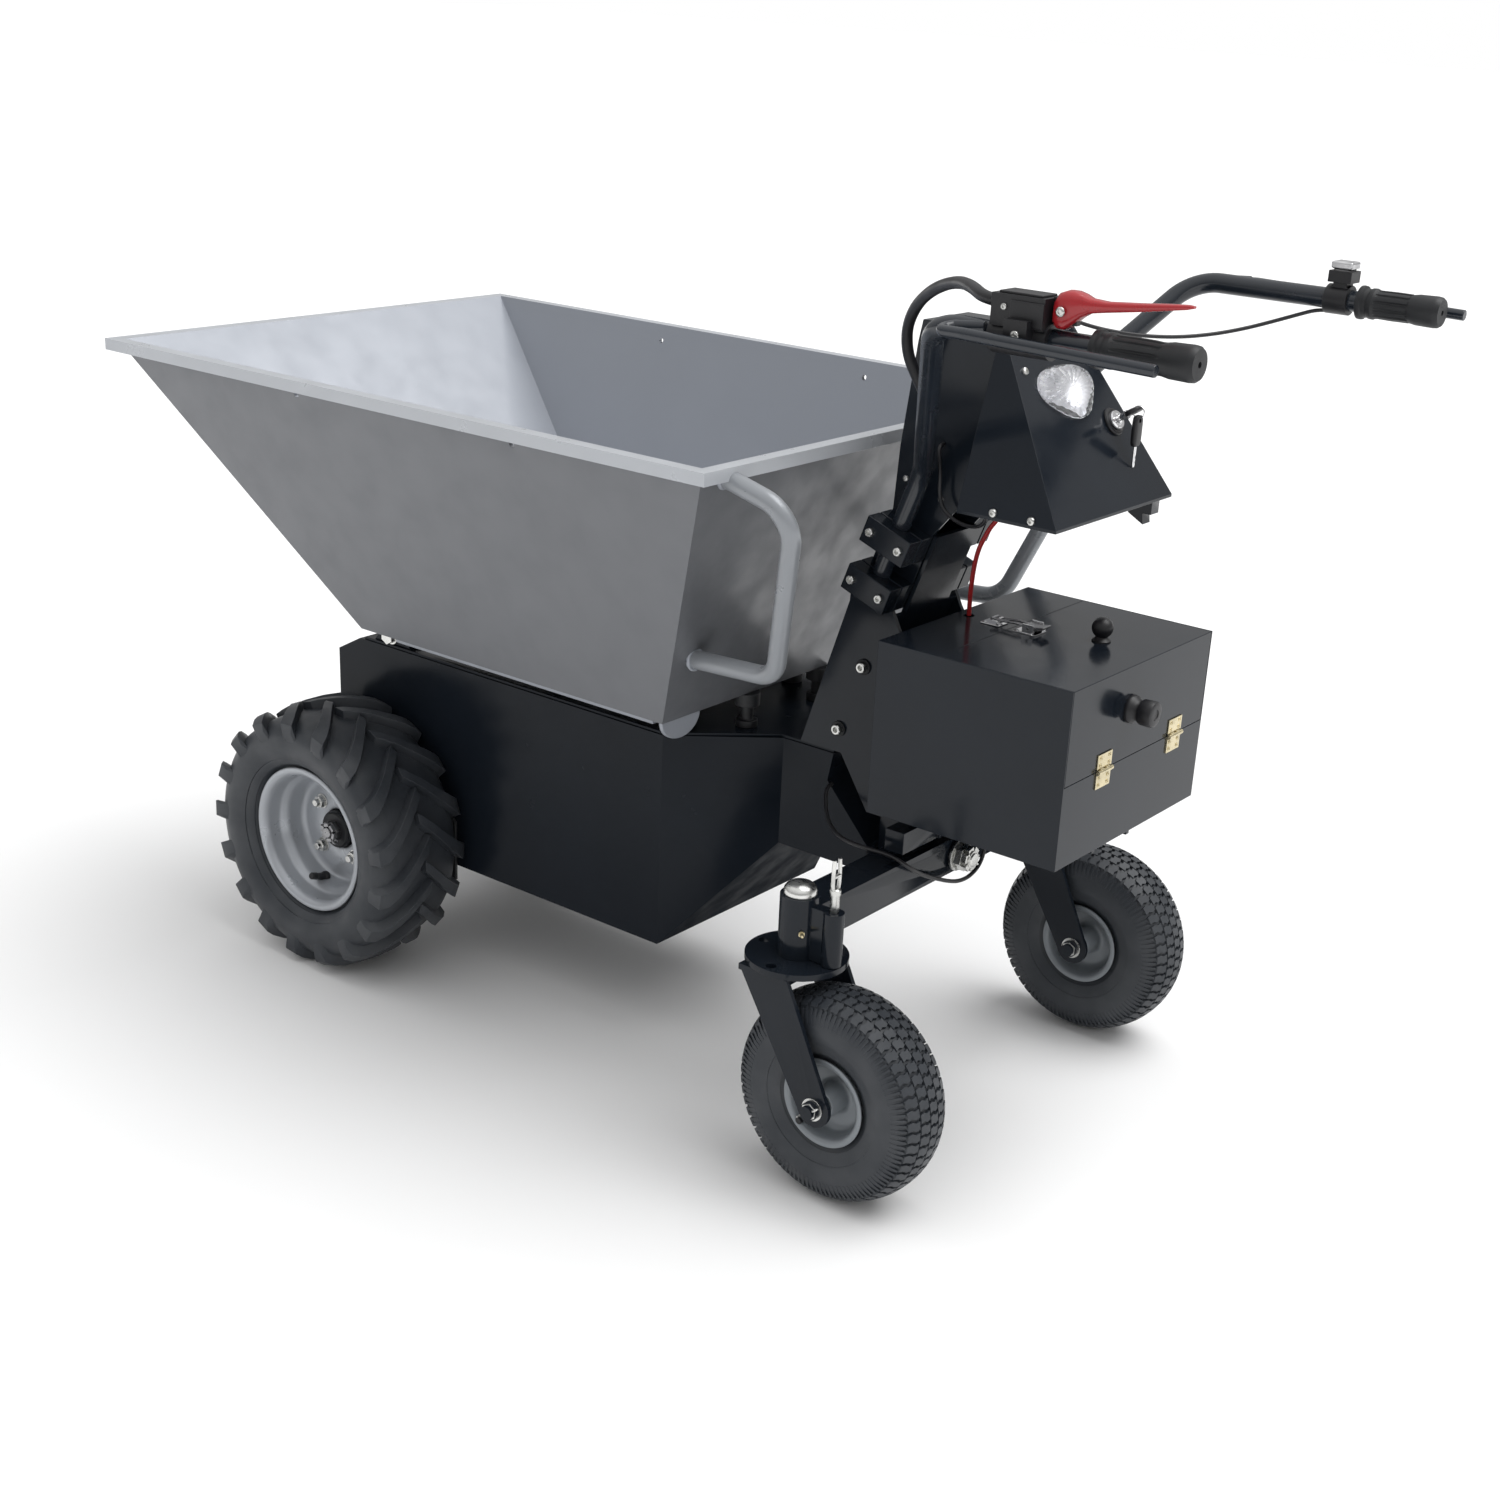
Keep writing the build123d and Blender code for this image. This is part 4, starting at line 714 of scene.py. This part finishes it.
def lock_pin(side, s):
    """Zinc lock pin with a forked pull head and its hairpin."""
    bm = bmesh.new()
    at = Vector((LOCK_X, s * KING_Y, 0))
    lathe(bm, at, (0, 0, 1), [(0.308, 0), (0.308, 0.0048), (0.31, 0.0059), (0.398, 0.0059),
                              (0.4, 0.007), (0.406, 0.007), (0.408, 0.005), (0.408, 0)], 32)
    for dy in (-1, 1):
        rod(bm, [at + Vector((0, dy * y, z)) for y, z in
                 ((0.0036, 0.404), (0.0062, 0.412), (0.0064, 0.43), (0.0052, 0.4455))], 0.0026)
    pin(bm, at + Vector((0, -0.0068, 0.424)), (0, 1, 0), 0.003, 0.0136, 16)
    piece(f"lock_pin.{side}.turned", bm, f"lock_pin_{side}", "zinc", 0.0004,
          replaced=(f"lock_pin_{side}",))


def king_pin_cap(side, s):
    """Domed zinc cap over the king-pin housing, and the housing's grease nipple."""
    bm = bmesh.new()
    lathe(bm, (KING_X, s * KING_Y, 0), (0, 0, 1),
          [(0.3854, 0), (0.3854, 0.0205), (0.3858, 0.021), (0.3905, 0.021), (0.3935, 0.02),
           (0.3965, 0.018), (0.3988, 0.015), (0.4004, 0.011), (0.4012, 0.006), (0.4014, 0)], 48)
    # the left cap stands for both
    piece(f"king_pin_cap.{side}", bm, "rear_beam", "zinc",
          replaced=("king_pin_caps",) if s > 0 else ())
    bm = bmesh.new()
    wall, nut_end, nipple_z = 0.0175, 0.0196, 0.342
    hexagon(bm, (KING_X - wall, s * (KING_Y + wall), nipple_z), (-1, s, 0), 0.0042, 0.003)
    lathe(bm, (KING_X - nut_end, s * (KING_Y + nut_end), nipple_z), (-1, s, 0),
          [(0, 0), (0, 0.003), (0.003, 0.0022), (0.005, 0.0024), (0.007, 0.0014), (0.007, 0)], 16)
    piece(f"grease_nipple.{side}", bm, "rear_beam", "brass", 0.0002, 1)


for side, s in SIDES:
    drive_tyre(side, s)
    drive_rim(side, s)
    caster_tyre(side, s)
    caster_rim(side, s)
    lock_pin(side, s)
    king_pin_cap(side, s)

# rocking pin with its washer, slotted nut and split pin
BACK = Vector((-1, 0, 0))
bm = bmesh.new()
pin(bm, (-0.304, 0, ROCK_Z), BACK, 0.01195, 0.12, 40)
pin(bm, (-0.3984, 0, ROCK_Z), BACK, 0.0218, 0.0036, 48)
castle_nut(bm, (-0.402, 0, ROCK_Z), BACK, 0.0195, 0.02)
cotter(bm, (-0.416, 0, ROCK_Z), (0, 0.8, 0.6), BACK, 0.015)
piece("rocker_pin.nut", bm, "chassis", "zinc", 0.0006, 2, ("rocker_pin",))


# ------------------------------ grips
def grip(name, s, start, end, body, node):
    """Rubber grip: collar, fluted palm, plain thick end with a round edge and a small hole."""
    bm = bmesh.new()
    length = start - end
    stations = [(0.0, 0.015, 0), (0.0006, 0.02, 0), (0.003, 0.0204, 0), (0.0062, 0.02, 0),
                (0.008, 0.0176, 0), (0.013, 0.0172, 0), (0.015, 0.0184, 0), (0.02, 0.0186, 0),
                (0.0225, 0.0172, 0), (0.026, 0.017, 1), (0.045, 0.0174, 1), (0.065, 0.0172, 1),
                (length - 0.042, 0.0166, 1), (length - 0.038, 0.0168, 0),
                (length - 0.03, 0.0182, 0), (length - 0.008, 0.0188, 0),
                (length - 0.003, 0.0182, 0), (length, 0.016, 0), (length, 0.0034, 0),
                (length - 0.003, 0.003, 0), (length - 0.003, 0.0, 0)]
    flute = 0.0016
    rings = []
    for along, radius, fluted in stations:
        ring = []
        for k, a in enumerate(angles(96)):
            out = radius - flute * fluted if k % 8 in (3, 4, 5) else radius
            ring.append(bm.verts.new((start - along, s * BAR_Y + out * math.cos(a),
                                      BAR_Z + out * math.sin(a))))
        rings.append(ring)
    skin(bm, rings)
    bm.faces.new(rings[0])
    piece(name, bm, body, "rubber", replaced=(node,), smooth=30)


grip("left_grip.fluted", 1, -0.692, -0.808, "chassis", "left_grip")
grip("throttle_grip.fluted", -1, -0.718, -0.822, "throttle_grip", "throttle_grip")

# ------------------------------ panel pieces
PANEL_FOOT = Vector((-0.577, 0, 0.848))
PANEL_RISE = Vector((0.128, 0, 0.197)).normalized()
PANEL_OUT = Vector((-PANEL_RISE.z, 0, PANEL_RISE.x))


def on_panel(y, up, out=0.0):
    """Point on the sloping panel: y, distance up the slope, distance out of it."""
    return PANEL_FOOT + PANEL_RISE * up + PANEL_OUT * out + Vector((0, y, 0))


def panel_height(z):
    """Distance up the slope of a given height."""
    return (z - PANEL_FOOT.z) / PANEL_RISE.z


LENS_UP = panel_height(0.979)
# outline of the lamp: (towards the left, up the slope), a rounded triangle pointing down
LAMP_OUTLINE = [(0.0, 0.0325), (0.03, 0.03), (0.048, 0.023), (0.058, 0.01),
                (0.055, -0.005), (0.038, -0.019), (0.014, -0.032), (-0.01, -0.0365),
                (-0.03, -0.032), (-0.047, -0.017), (-0.06, -0.001), (-0.0615, 0.012),
                (-0.052, 0.022), (-0.032, 0.0295)]


def lamp_point(share, turn, out):
    """Point on a scaled copy of the lamp's outline; turn runs from 0 to 1 round it."""
    count = len(LAMP_OUTLINE)
    i = int(turn * count)
    near = (Vector(LAMP_OUTLINE[(i + k) % count]) for k in (-1, 0, 1, 2))
    at = glide(*near, turn * count - i)
    return on_panel(share * at.x, LENS_UP + share * at.y, out)


def lamp_part(name, levels, slot, flute, replaced, material=None):
    """Fluted dome or dish: levels are (share of the outline, height out of the panel)."""
    bm = bmesh.new()
    around = 144
    rings = []
    for share, out in levels:
        ridge = flute if 0.3 < share < 0.97 else 0.0
        rings.append([bm.verts.new(lamp_point(share, k / around, out + ridge * (k % 6 < 3)))
                      for k in range(around)])
    skin(bm, rings)
    bm.faces.new(rings[-1])
    piece(name, bm, "chassis", slot, replaced=(replaced,), smooth=60, material=material)


lamp_part("headlight_reflector.dish",
          [(1.0, 0.0006), (0.94, 0.0008), (0.9, -0.003), (0.72, -0.01), (0.5, -0.015),
           (0.25, -0.018), (0.05, -0.019)],
          "chrome", 0.0009, "headlight_reflector", REFLECTOR)
lamp_part("headlight_lens.fluted",
          [(1.0, 0.0002), (1.0, 0.003), (0.97, 0.0048), (0.9, 0.0062), (0.78, 0.0078),
           (0.6, 0.0092), (0.4, 0.0101), (0.31, 0.0104), (0.28, 0.0108), (0.12, 0.0113),
           (0.02, 0.0114)],
          "lens", 0.001, "headlight_lens")

# ------------------------------ key, ring and tag
KEY_Y, KEY_Z = -0.074, 0.937
KEY_UP = panel_height(KEY_Z)
KEY_AT = on_panel(KEY_Y, KEY_UP)
RING_AT = KEY_AT + PANEL_OUT * 0.0379 - PANEL_RISE * 0.0042
RING_R = 0.0075

bm = bmesh.new()
lathe(bm, KEY_AT, PANEL_OUT, [(0.0002, 0), (0.0002, 0.0175), (0.0022, 0.0178), (0.0038, 0.0168),
                              (0.0042, 0.015), (0.003, 0.0128), (0.003, 0)], 48)
piece("key_switch.bezel", bm, "chassis", "black_plastic", replaced=("key_switch",))
bm = bmesh.new()
lathe(bm, KEY_AT, PANEL_OUT, [(0, 0), (0, 0.0105), (0.003, 0.0122), (0.0075, 0.0122),
                              (0.0092, 0.0112), (0.0092, 0.0072), (0.0078, 0.0062),
                              (0.0078, 0.0046), (0.0042, 0.0044), (0.0042, 0)], 40)
piece("key_switch.barrel", bm, "chassis", "chrome")
bm = bmesh.new()
moulded_head(bm, KEY_AT + PANEL_OUT * 0.032, (0, 1, 0), PANEL_OUT, (0.0125, 0.0105), 0, 0.0042,
             0.003, 0.8)
piece("ignition_key.head", bm, "ignition_key", "black_plastic", replaced=("ignition_key",),
      smooth=50)
bm = bmesh.new()
lathe(bm, KEY_AT, PANEL_OUT, [(0.0052, 0), (0.0052, 0.004), (0.019, 0.004), (0.02, 0.0054),
                              (0.0235, 0.0054), (0.024, 0.004), (0.024, 0)], 32)
piece("ignition_key.shank", bm, "ignition_key", "chrome")
bm = bmesh.new()
lathe(bm, RING_AT, (0, 1, 0), [(0.0008 * math.sin(a), RING_R + 0.0008 * math.cos(a))
                               for a in angles(8)], 48)
piece("key_tag.ring", bm, "key_tag", "chrome", replaced=("key_tag",))
HOLE = RING_AT - Vector((0, 0, RING_R + 0.0021))
bm = bmesh.new()
moulded_head(bm, HOLE, (0, 1, 0), (0, 0, 1), (0.0085, 0.019), -0.013, 0.003, 0.0034, 0.45)
piece("key_tag.head", bm, "key_tag", "black_plastic", smooth=50)
bm = bmesh.new()
cuts = [(-0.003, 0), (0.003, 0), (0.003, -0.023), (0.0018, -0.027), (-0.0018, -0.027),
        (-0.003, -0.024), (-0.0018, -0.021), (-0.003, -0.018), (-0.0016, -0.015),
        (-0.003, -0.012)]
prism(bm, [HOLE + Vector((-0.0009, y, z - 0.0305)) for y, z in cuts], (0.0018, 0, 0))
block(bm, HOLE + Vector((-0.0014, -0.0006, -0.054)), HOLE + Vector((0.0014, 0.0006, -0.0315)))
piece("key_tag.blade", bm, "key_tag", "chrome", 0.0002, 1)

# ------------------------------ screws
COLUMN_AT = Vector((-0.29, 0, 0.711))
COLUMN_LEAN = math.radians(20)
COLUMN_UP = Vector((-math.sin(COLUMN_LEAN), 0, math.cos(COLUMN_LEAN)))
COLUMN_BACK = Vector((-math.cos(COLUMN_LEAN), 0, -math.sin(COLUMN_LEAN)))

bm, washers = bmesh.new(), bmesh.new()
for s in (1, -1):
    for height in (0, 0.07):
        for back in (-0.0235, 0.0235):
            at = COLUMN_AT + COLUMN_UP * height + COLUMN_BACK * back + Vector((0, s * 0.1, 0))
            socket_cap(bm, at, (0, s, 0), 0.0056, 0.005)
    for x, z in ((-0.279, 0.6), (-0.246, 0.507)):
        at = Vector((x, s * 0.075, z))
        lathe(washers, at, (0, s, 0), [(0, 0), (0, 0.0105), (0.0022, 0.0105), (0.0026, 0.01),
                                       (0.0026, 0)], 32)
        socket_cap(bm, at + Vector((0, s * 0.0026, 0)), (0, s, 0), 0.007, 0.0068)
    for x, z in ((-0.36, 0.831), (-0.306, 0.848)):
        button_head(bm, (x, s * 0.0499, z), (0, s, 0), 0.004, 0.0028)
    for x in (-0.491, -0.543):
        button_head(bm, (x, s * 0.1395, 0.853), (0, s, 0), 0.0052, 0.0042)
    button_head(bm, on_panel(s * 0.069, panel_height(1.007)), PANEL_OUT, 0.0048, 0.0036)
piece("zinc_screws.heads", bm, "chassis", "zinc", replaced=("zinc_screws",))
piece("column_washers", washers, "chassis", "black_paint")

# ------------------------------ hand controls
refine("lever_perch.body", "lever_perch", 0.0032, 3)
# lever sections: x, lowest and highest z, half width
LEVER = [(-0.644, 1.104, 1.131, 0.012), (-0.648, 1.101, 1.138, 0.014),
         (-0.656, 1.101, 1.141, 0.014), (-0.664, 1.107, 1.141, 0.013),
         (-0.673, 1.115, 1.139, 0.0108), (-0.682, 1.1205, 1.1355, 0.0088),
         (-0.7, 1.1235, 1.1345, 0.0076), (-0.74, 1.1295, 1.138, 0.0072),
         (-0.77, 1.1345, 1.141, 0.0066), (-0.788, 1.1375, 1.1425, 0.0052),
         (-0.795, 1.1395, 1.142, 0.0028)]
bm = bmesh.new()
rings = []
for x, low, high, half in LEVER:
    ring = []
    for a in angles(20):
        y = LEVER_Y + half * signed_power(math.cos(a), 0.6)
        z = (low + high + (high - low) * signed_power(math.sin(a), 0.6)) / 2
        ring.append(bm.verts.new((x, y, z)))
    rings.append(ring)
skin(bm, rings)
close_ends(bm, rings)
piece("brake_lever.forged", bm, "brake_lever", "red_lever", replaced=("brake_lever",), smooth=60)
refine("switch_housing.body", "switch_housing", 0.002, 3)
refine("horn_button.cap", "horn_button", 0.0026, 3)
bm = bmesh.new()
button_head(bm, (-0.615, 0.334, 1.093), (0, 1, 0), 0.005, 0.0028)
for x in (-0.592, -0.628):
    button_head(bm, (x, 0.322, 1.118), (0, 1, 0), 0.0036, 0.0022)
for s in (1, -1):
    button_head(bm, (-0.655, LEVER_Y + s * 0.016, 1.12), (0, s, 0), 0.0052, 0.0026)
piece("perch_screws", bm, "chassis", "zinc")
bm = bmesh.new()
block(bm, (-0.634, 0.288, 1.1305), (-0.582, 0.318, 1.1335))
block(bm, (-0.64, 0.3215, 1.1), (-0.6, 0.3245, 1.126))
block(bm, (-0.628, 0.297, 1.069), (-0.584, 0.305, 1.0745))
piece("perch_covers", bm, "chassis", "black_plastic", 0.0012, 2)

# ------------------------------ battery box fittings
BB_REAR, BB_TOP, BB_SEAM = -0.64, 0.677, 0.558
LATCH_Z = BB_TOP + 0.008
HINGE_YS = (0.082, -0.097)
bm = bmesh.new()
lathe(bm, (-0.561, -0.028, BB_TOP), (0, 0, 1),
      [(0, 0), (0, 0.012), (0.0015, 0.012), (0.0045, 0.0085), (0.006, 0.0075), (0.0066, 0.0082)]
      + [(0.0175 + 0.0135 * math.sin(a), 0.0135 * math.cos(a))
         for a in (math.radians(-52 + 10 * k) for k in range(14))] + [(0.031, 0)], 48)
lathe(bm, (BB_REAR, 0.028, 0.622), BACK,
      [(0, 0), (0, 0.0175), (0.0025, 0.018), (0.006, 0.0172), (0.009, 0.014), (0.012, 0.0125),
       (0.0145, 0.0125), (0.0155, 0.015), (0.0175, 0.016), (0.031, 0.0165), (0.0335, 0.0155),
       (0.0345, 0.013), (0.0345, 0.007), (0.0335, 0.0065), (0.0335, 0)], 48)
piece("lid_knobs.turned", bm, "battery_lid", "black_plastic", replaced=("lid_knobs",))
for label, lift, body in (("lower", -1, "chassis"), ("upper", 1, "battery_lid")):
    bm = bmesh.new()
    for y in HINGE_YS:
        for dy in (-0.0105, 0.0105):
            for dz in (0.008, 0.0172):
                at = (BB_REAR - 0.0018, y + dy, BB_SEAM + lift * dz)
                button_head(bm, at, BACK, 0.0026, 0.001)
    piece(f"hinge_screws.{label}", bm, body, "brass")
bm = bmesh.new()
for x, y in ((-0.489, -0.0095), (-0.489, 0.0215), (-0.466, -0.0045), (-0.466, 0.0165)):
    button_head(bm, (x, y, BB_TOP + 0.002), (0, 0, 1), 0.0026, 0.0012)
piece("latch_rivets.base", bm, "battery_lid", "chrome")
bm = bmesh.new()
for y in (-0.003, 0.015):
    button_head(bm, (-0.417, y, BB_TOP + 0.002), (0, 0, 1), 0.0026, 0.0012)
piece("latch_rivets.keeper", bm, "chassis", "chrome")
bm = bmesh.new()
for y in (0.0, 0.012):
    rod(bm, [(-0.476, y, LATCH_Z), (-0.462, y, LATCH_Z + 0.0012), (-0.445, y, LATCH_Z),
             (-0.4285, y, LATCH_Z)], 0.0017, 10)
pin(bm, (-0.4265, -0.002, LATCH_Z), (0, 1, 0), 0.0019, 0.016, 16)
prism(bm, [(x, -0.0035, BB_TOP + z) for x, z in
           ((-0.4745, 0.0047), (-0.485, 0.0047), (-0.499, 0.0075), (-0.503, 0.0115),
            (-0.502, 0.0128), (-0.486, 0.01), (-0.4745, 0.011))], (0, 0.019, 0))
pin(bm, (-0.482, -0.0075, LATCH_Z), (0, 1, 0), 0.002, 0.027, 16)
piece("latch_lever.pressed", bm, "latch_lever", "chrome", 0.0005, replaced=("latch_lever",),
      material=LATCH_STEEL)

# ------------------------------ hopper
RIM_X, RIM_Y, RIM_Z, ROLL, CORNER_R = (-0.263, 0.848), 0.395, 0.897, 0.008, 0.008
PAINTED_HIGHLIGHT_ABOVE, PAINTED_SHADE_BELOW = 0.88, 0.5235
HOPPER_MIDDLE = Vector((0.2, 0, 0.75))
# the tub's own paint inside; a darker copy outside is painted shade, a paler copy on the rim is a
# painted highlight
tub = refine("hopper_tub.body", "hopper_tub", 0.0016, 3)
for painted_light_copy in (HOPPER_OUTSIDE_PAINTED_SHADE, HOPPER_RIM_PAINTED_HIGHLIGHT):
    tub.data.materials.append(painted_light_copy)
# faces above the rim height take the painted highlight; faces turned outward or low on the bottom
# take the painted shade
for face in tub.data.polygons:
    if face.center.z > PAINTED_HIGHLIGHT_ABOVE:
        face.material_index = 2
    elif face.normal.dot(HOPPER_MIDDLE - face.center) < 0 or face.center.z < PAINTED_SHADE_BELOW:
        face.material_index = 1
corners = ((RIM_X[0] + ROLL, RIM_Y - ROLL), (RIM_X[0] + ROLL, ROLL - RIM_Y),
           (RIM_X[1] - ROLL, ROLL - RIM_Y), (RIM_X[1] - ROLL, RIM_Y - ROLL))
bm = bmesh.new()
rings = []
for i, corner in enumerate(corners):
    here = Vector((*corner, RIM_Z - ROLL))
    before = (Vector((*corners[i - 1], here.z)) - here).normalized()
    after = (Vector((*corners[(i + 1) % 4], here.z)) - here).normalized()
    for turn in range(5):
        a = math.radians(22.5 * turn)
        out = -(after * math.cos(a) + before * math.sin(a))
        at = here + (before + after + out) * CORNER_R
        rings.append([bm.verts.new(at + ROLL * (out * math.cos(b) + Vector((0, 0, math.sin(b)))))
                      for b in angles(16)])
skin(bm, rings, along=True)
# the rolled rim wears the paler copy of the hopper paint, a painted highlight
piece("hopper_rim.roll", bm, "hopper", "hopper_paint", smooth=60, material=HOPPER_RIM_PAINTED_HIGHLIGHT)
bm = bmesh.new()
for s in (1, -1):
    for at, axis, radius in (((-0.2495, s * 0.338, 0.8815), (-0.97, 0, -0.24), 0.0126),
                             ((-0.142, s * 0.2526, 0.6175), (-1, 0.05 * s, 0.06), 0.0128)):
        bead = [(0.0028 * math.sin(a), radius + 0.0026 * math.cos(a)) for a in angles(8)]
        lathe(bm, at, axis, bead, 40)
for vert in bm.verts:
    ripple = math.sin(900 * vert.co.y) * math.cos(900 * vert.co.z)
    vert.co += Vector((0.0007, 0.0004, 0.0004)) * ripple
piece("handle_welds", bm, "hopper", "hopper_paint", smooth=60)

# ------------------------------ softened CAD nodes
BELLY_SLOPE = -0.25  # faces turned further down than this hardly shine
shell = refine("chassis_shell.body", "chassis_shell")
shell.data.materials.append(BELLY_PAINT)
for face in shell.data.polygons:
    if face.normal.z < BELLY_SLOPE:
        face.material_index = 1
DONE = {name for obj in bpy.data.objects for name in obj.get("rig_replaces", [])}
for node_name in frame["nodes"]:
    if node_name not in DONE:
        refine(node_name + ".body", node_name)

# ------------------------------ floor, light and world
floor_mesh = bmesh.new()
bmesh.ops.create_grid(floor_mesh, x_segments=1, y_segments=1, size=60)
floor = object_from("floor", floor_mesh)
bpy.context.scene.collection.objects.link(floor)
floor.data.materials.append(surface("floor_white", (3, 4, [(0, 0.86), (1, 0.88)]), None, [],
                                    {"Roughness": 0.9}))


def sun(name, azimuth, height, spread, strength):
    """Soft distant light from a compass direction (degrees from +X) at a height in degrees."""
    data = bpy.data.lights.new(name, "SUN")
    data.angle = math.radians(spread)
    data.energy = strength
    light = bpy.data.objects.new(name, data)
    level = math.cos(math.radians(height))
    towards = Vector((level * math.cos(math.radians(azimuth)),
                      level * math.sin(math.radians(azimuth)), math.sin(math.radians(height))))
    light.rotation_euler = towards.to_track_quat("Z", "Y").to_euler()
    bpy.context.scene.collection.objects.link(light)


sun("overhead_softbox", 222, 66, 50, 2.0)

# studio: white behind the object, brighter overhead than round the sides for everything else
world = bpy.data.worlds.new("studio")
world.use_nodes = True
tree = world.node_tree
background = tree.nodes["Background"]
background.inputs["Color"].default_value = (1, 1, 1, 1)
split = tree.nodes.new("ShaderNodeSeparateXYZ")
tree.links.new(tree.nodes.new("ShaderNodeTexCoord").outputs["Generated"], split.inputs["Vector"])
rise = tree.nodes.new("ShaderNodeMapRange")
rise.inputs["From Max"].default_value = 0.8
rise.inputs["To Min"].default_value = 0.24
rise.inputs["To Max"].default_value = 1.0
tree.links.new(split.outputs["Z"], rise.inputs["Value"])
choose = tree.nodes.new("ShaderNodeMix")
choose.inputs["B"].default_value = 1.0
seen = tree.nodes.new("ShaderNodeLightPath").outputs["Is Camera Ray"]
tree.links.new(seen, choose.inputs["Factor"])
tree.links.new(rise.outputs["Result"], choose.inputs["A"])
tree.links.new(choose.outputs["Result"], background.inputs["Strength"])
bpy.context.scene.world = world
bpy.context.scene.view_settings.view_transform = "Standard"
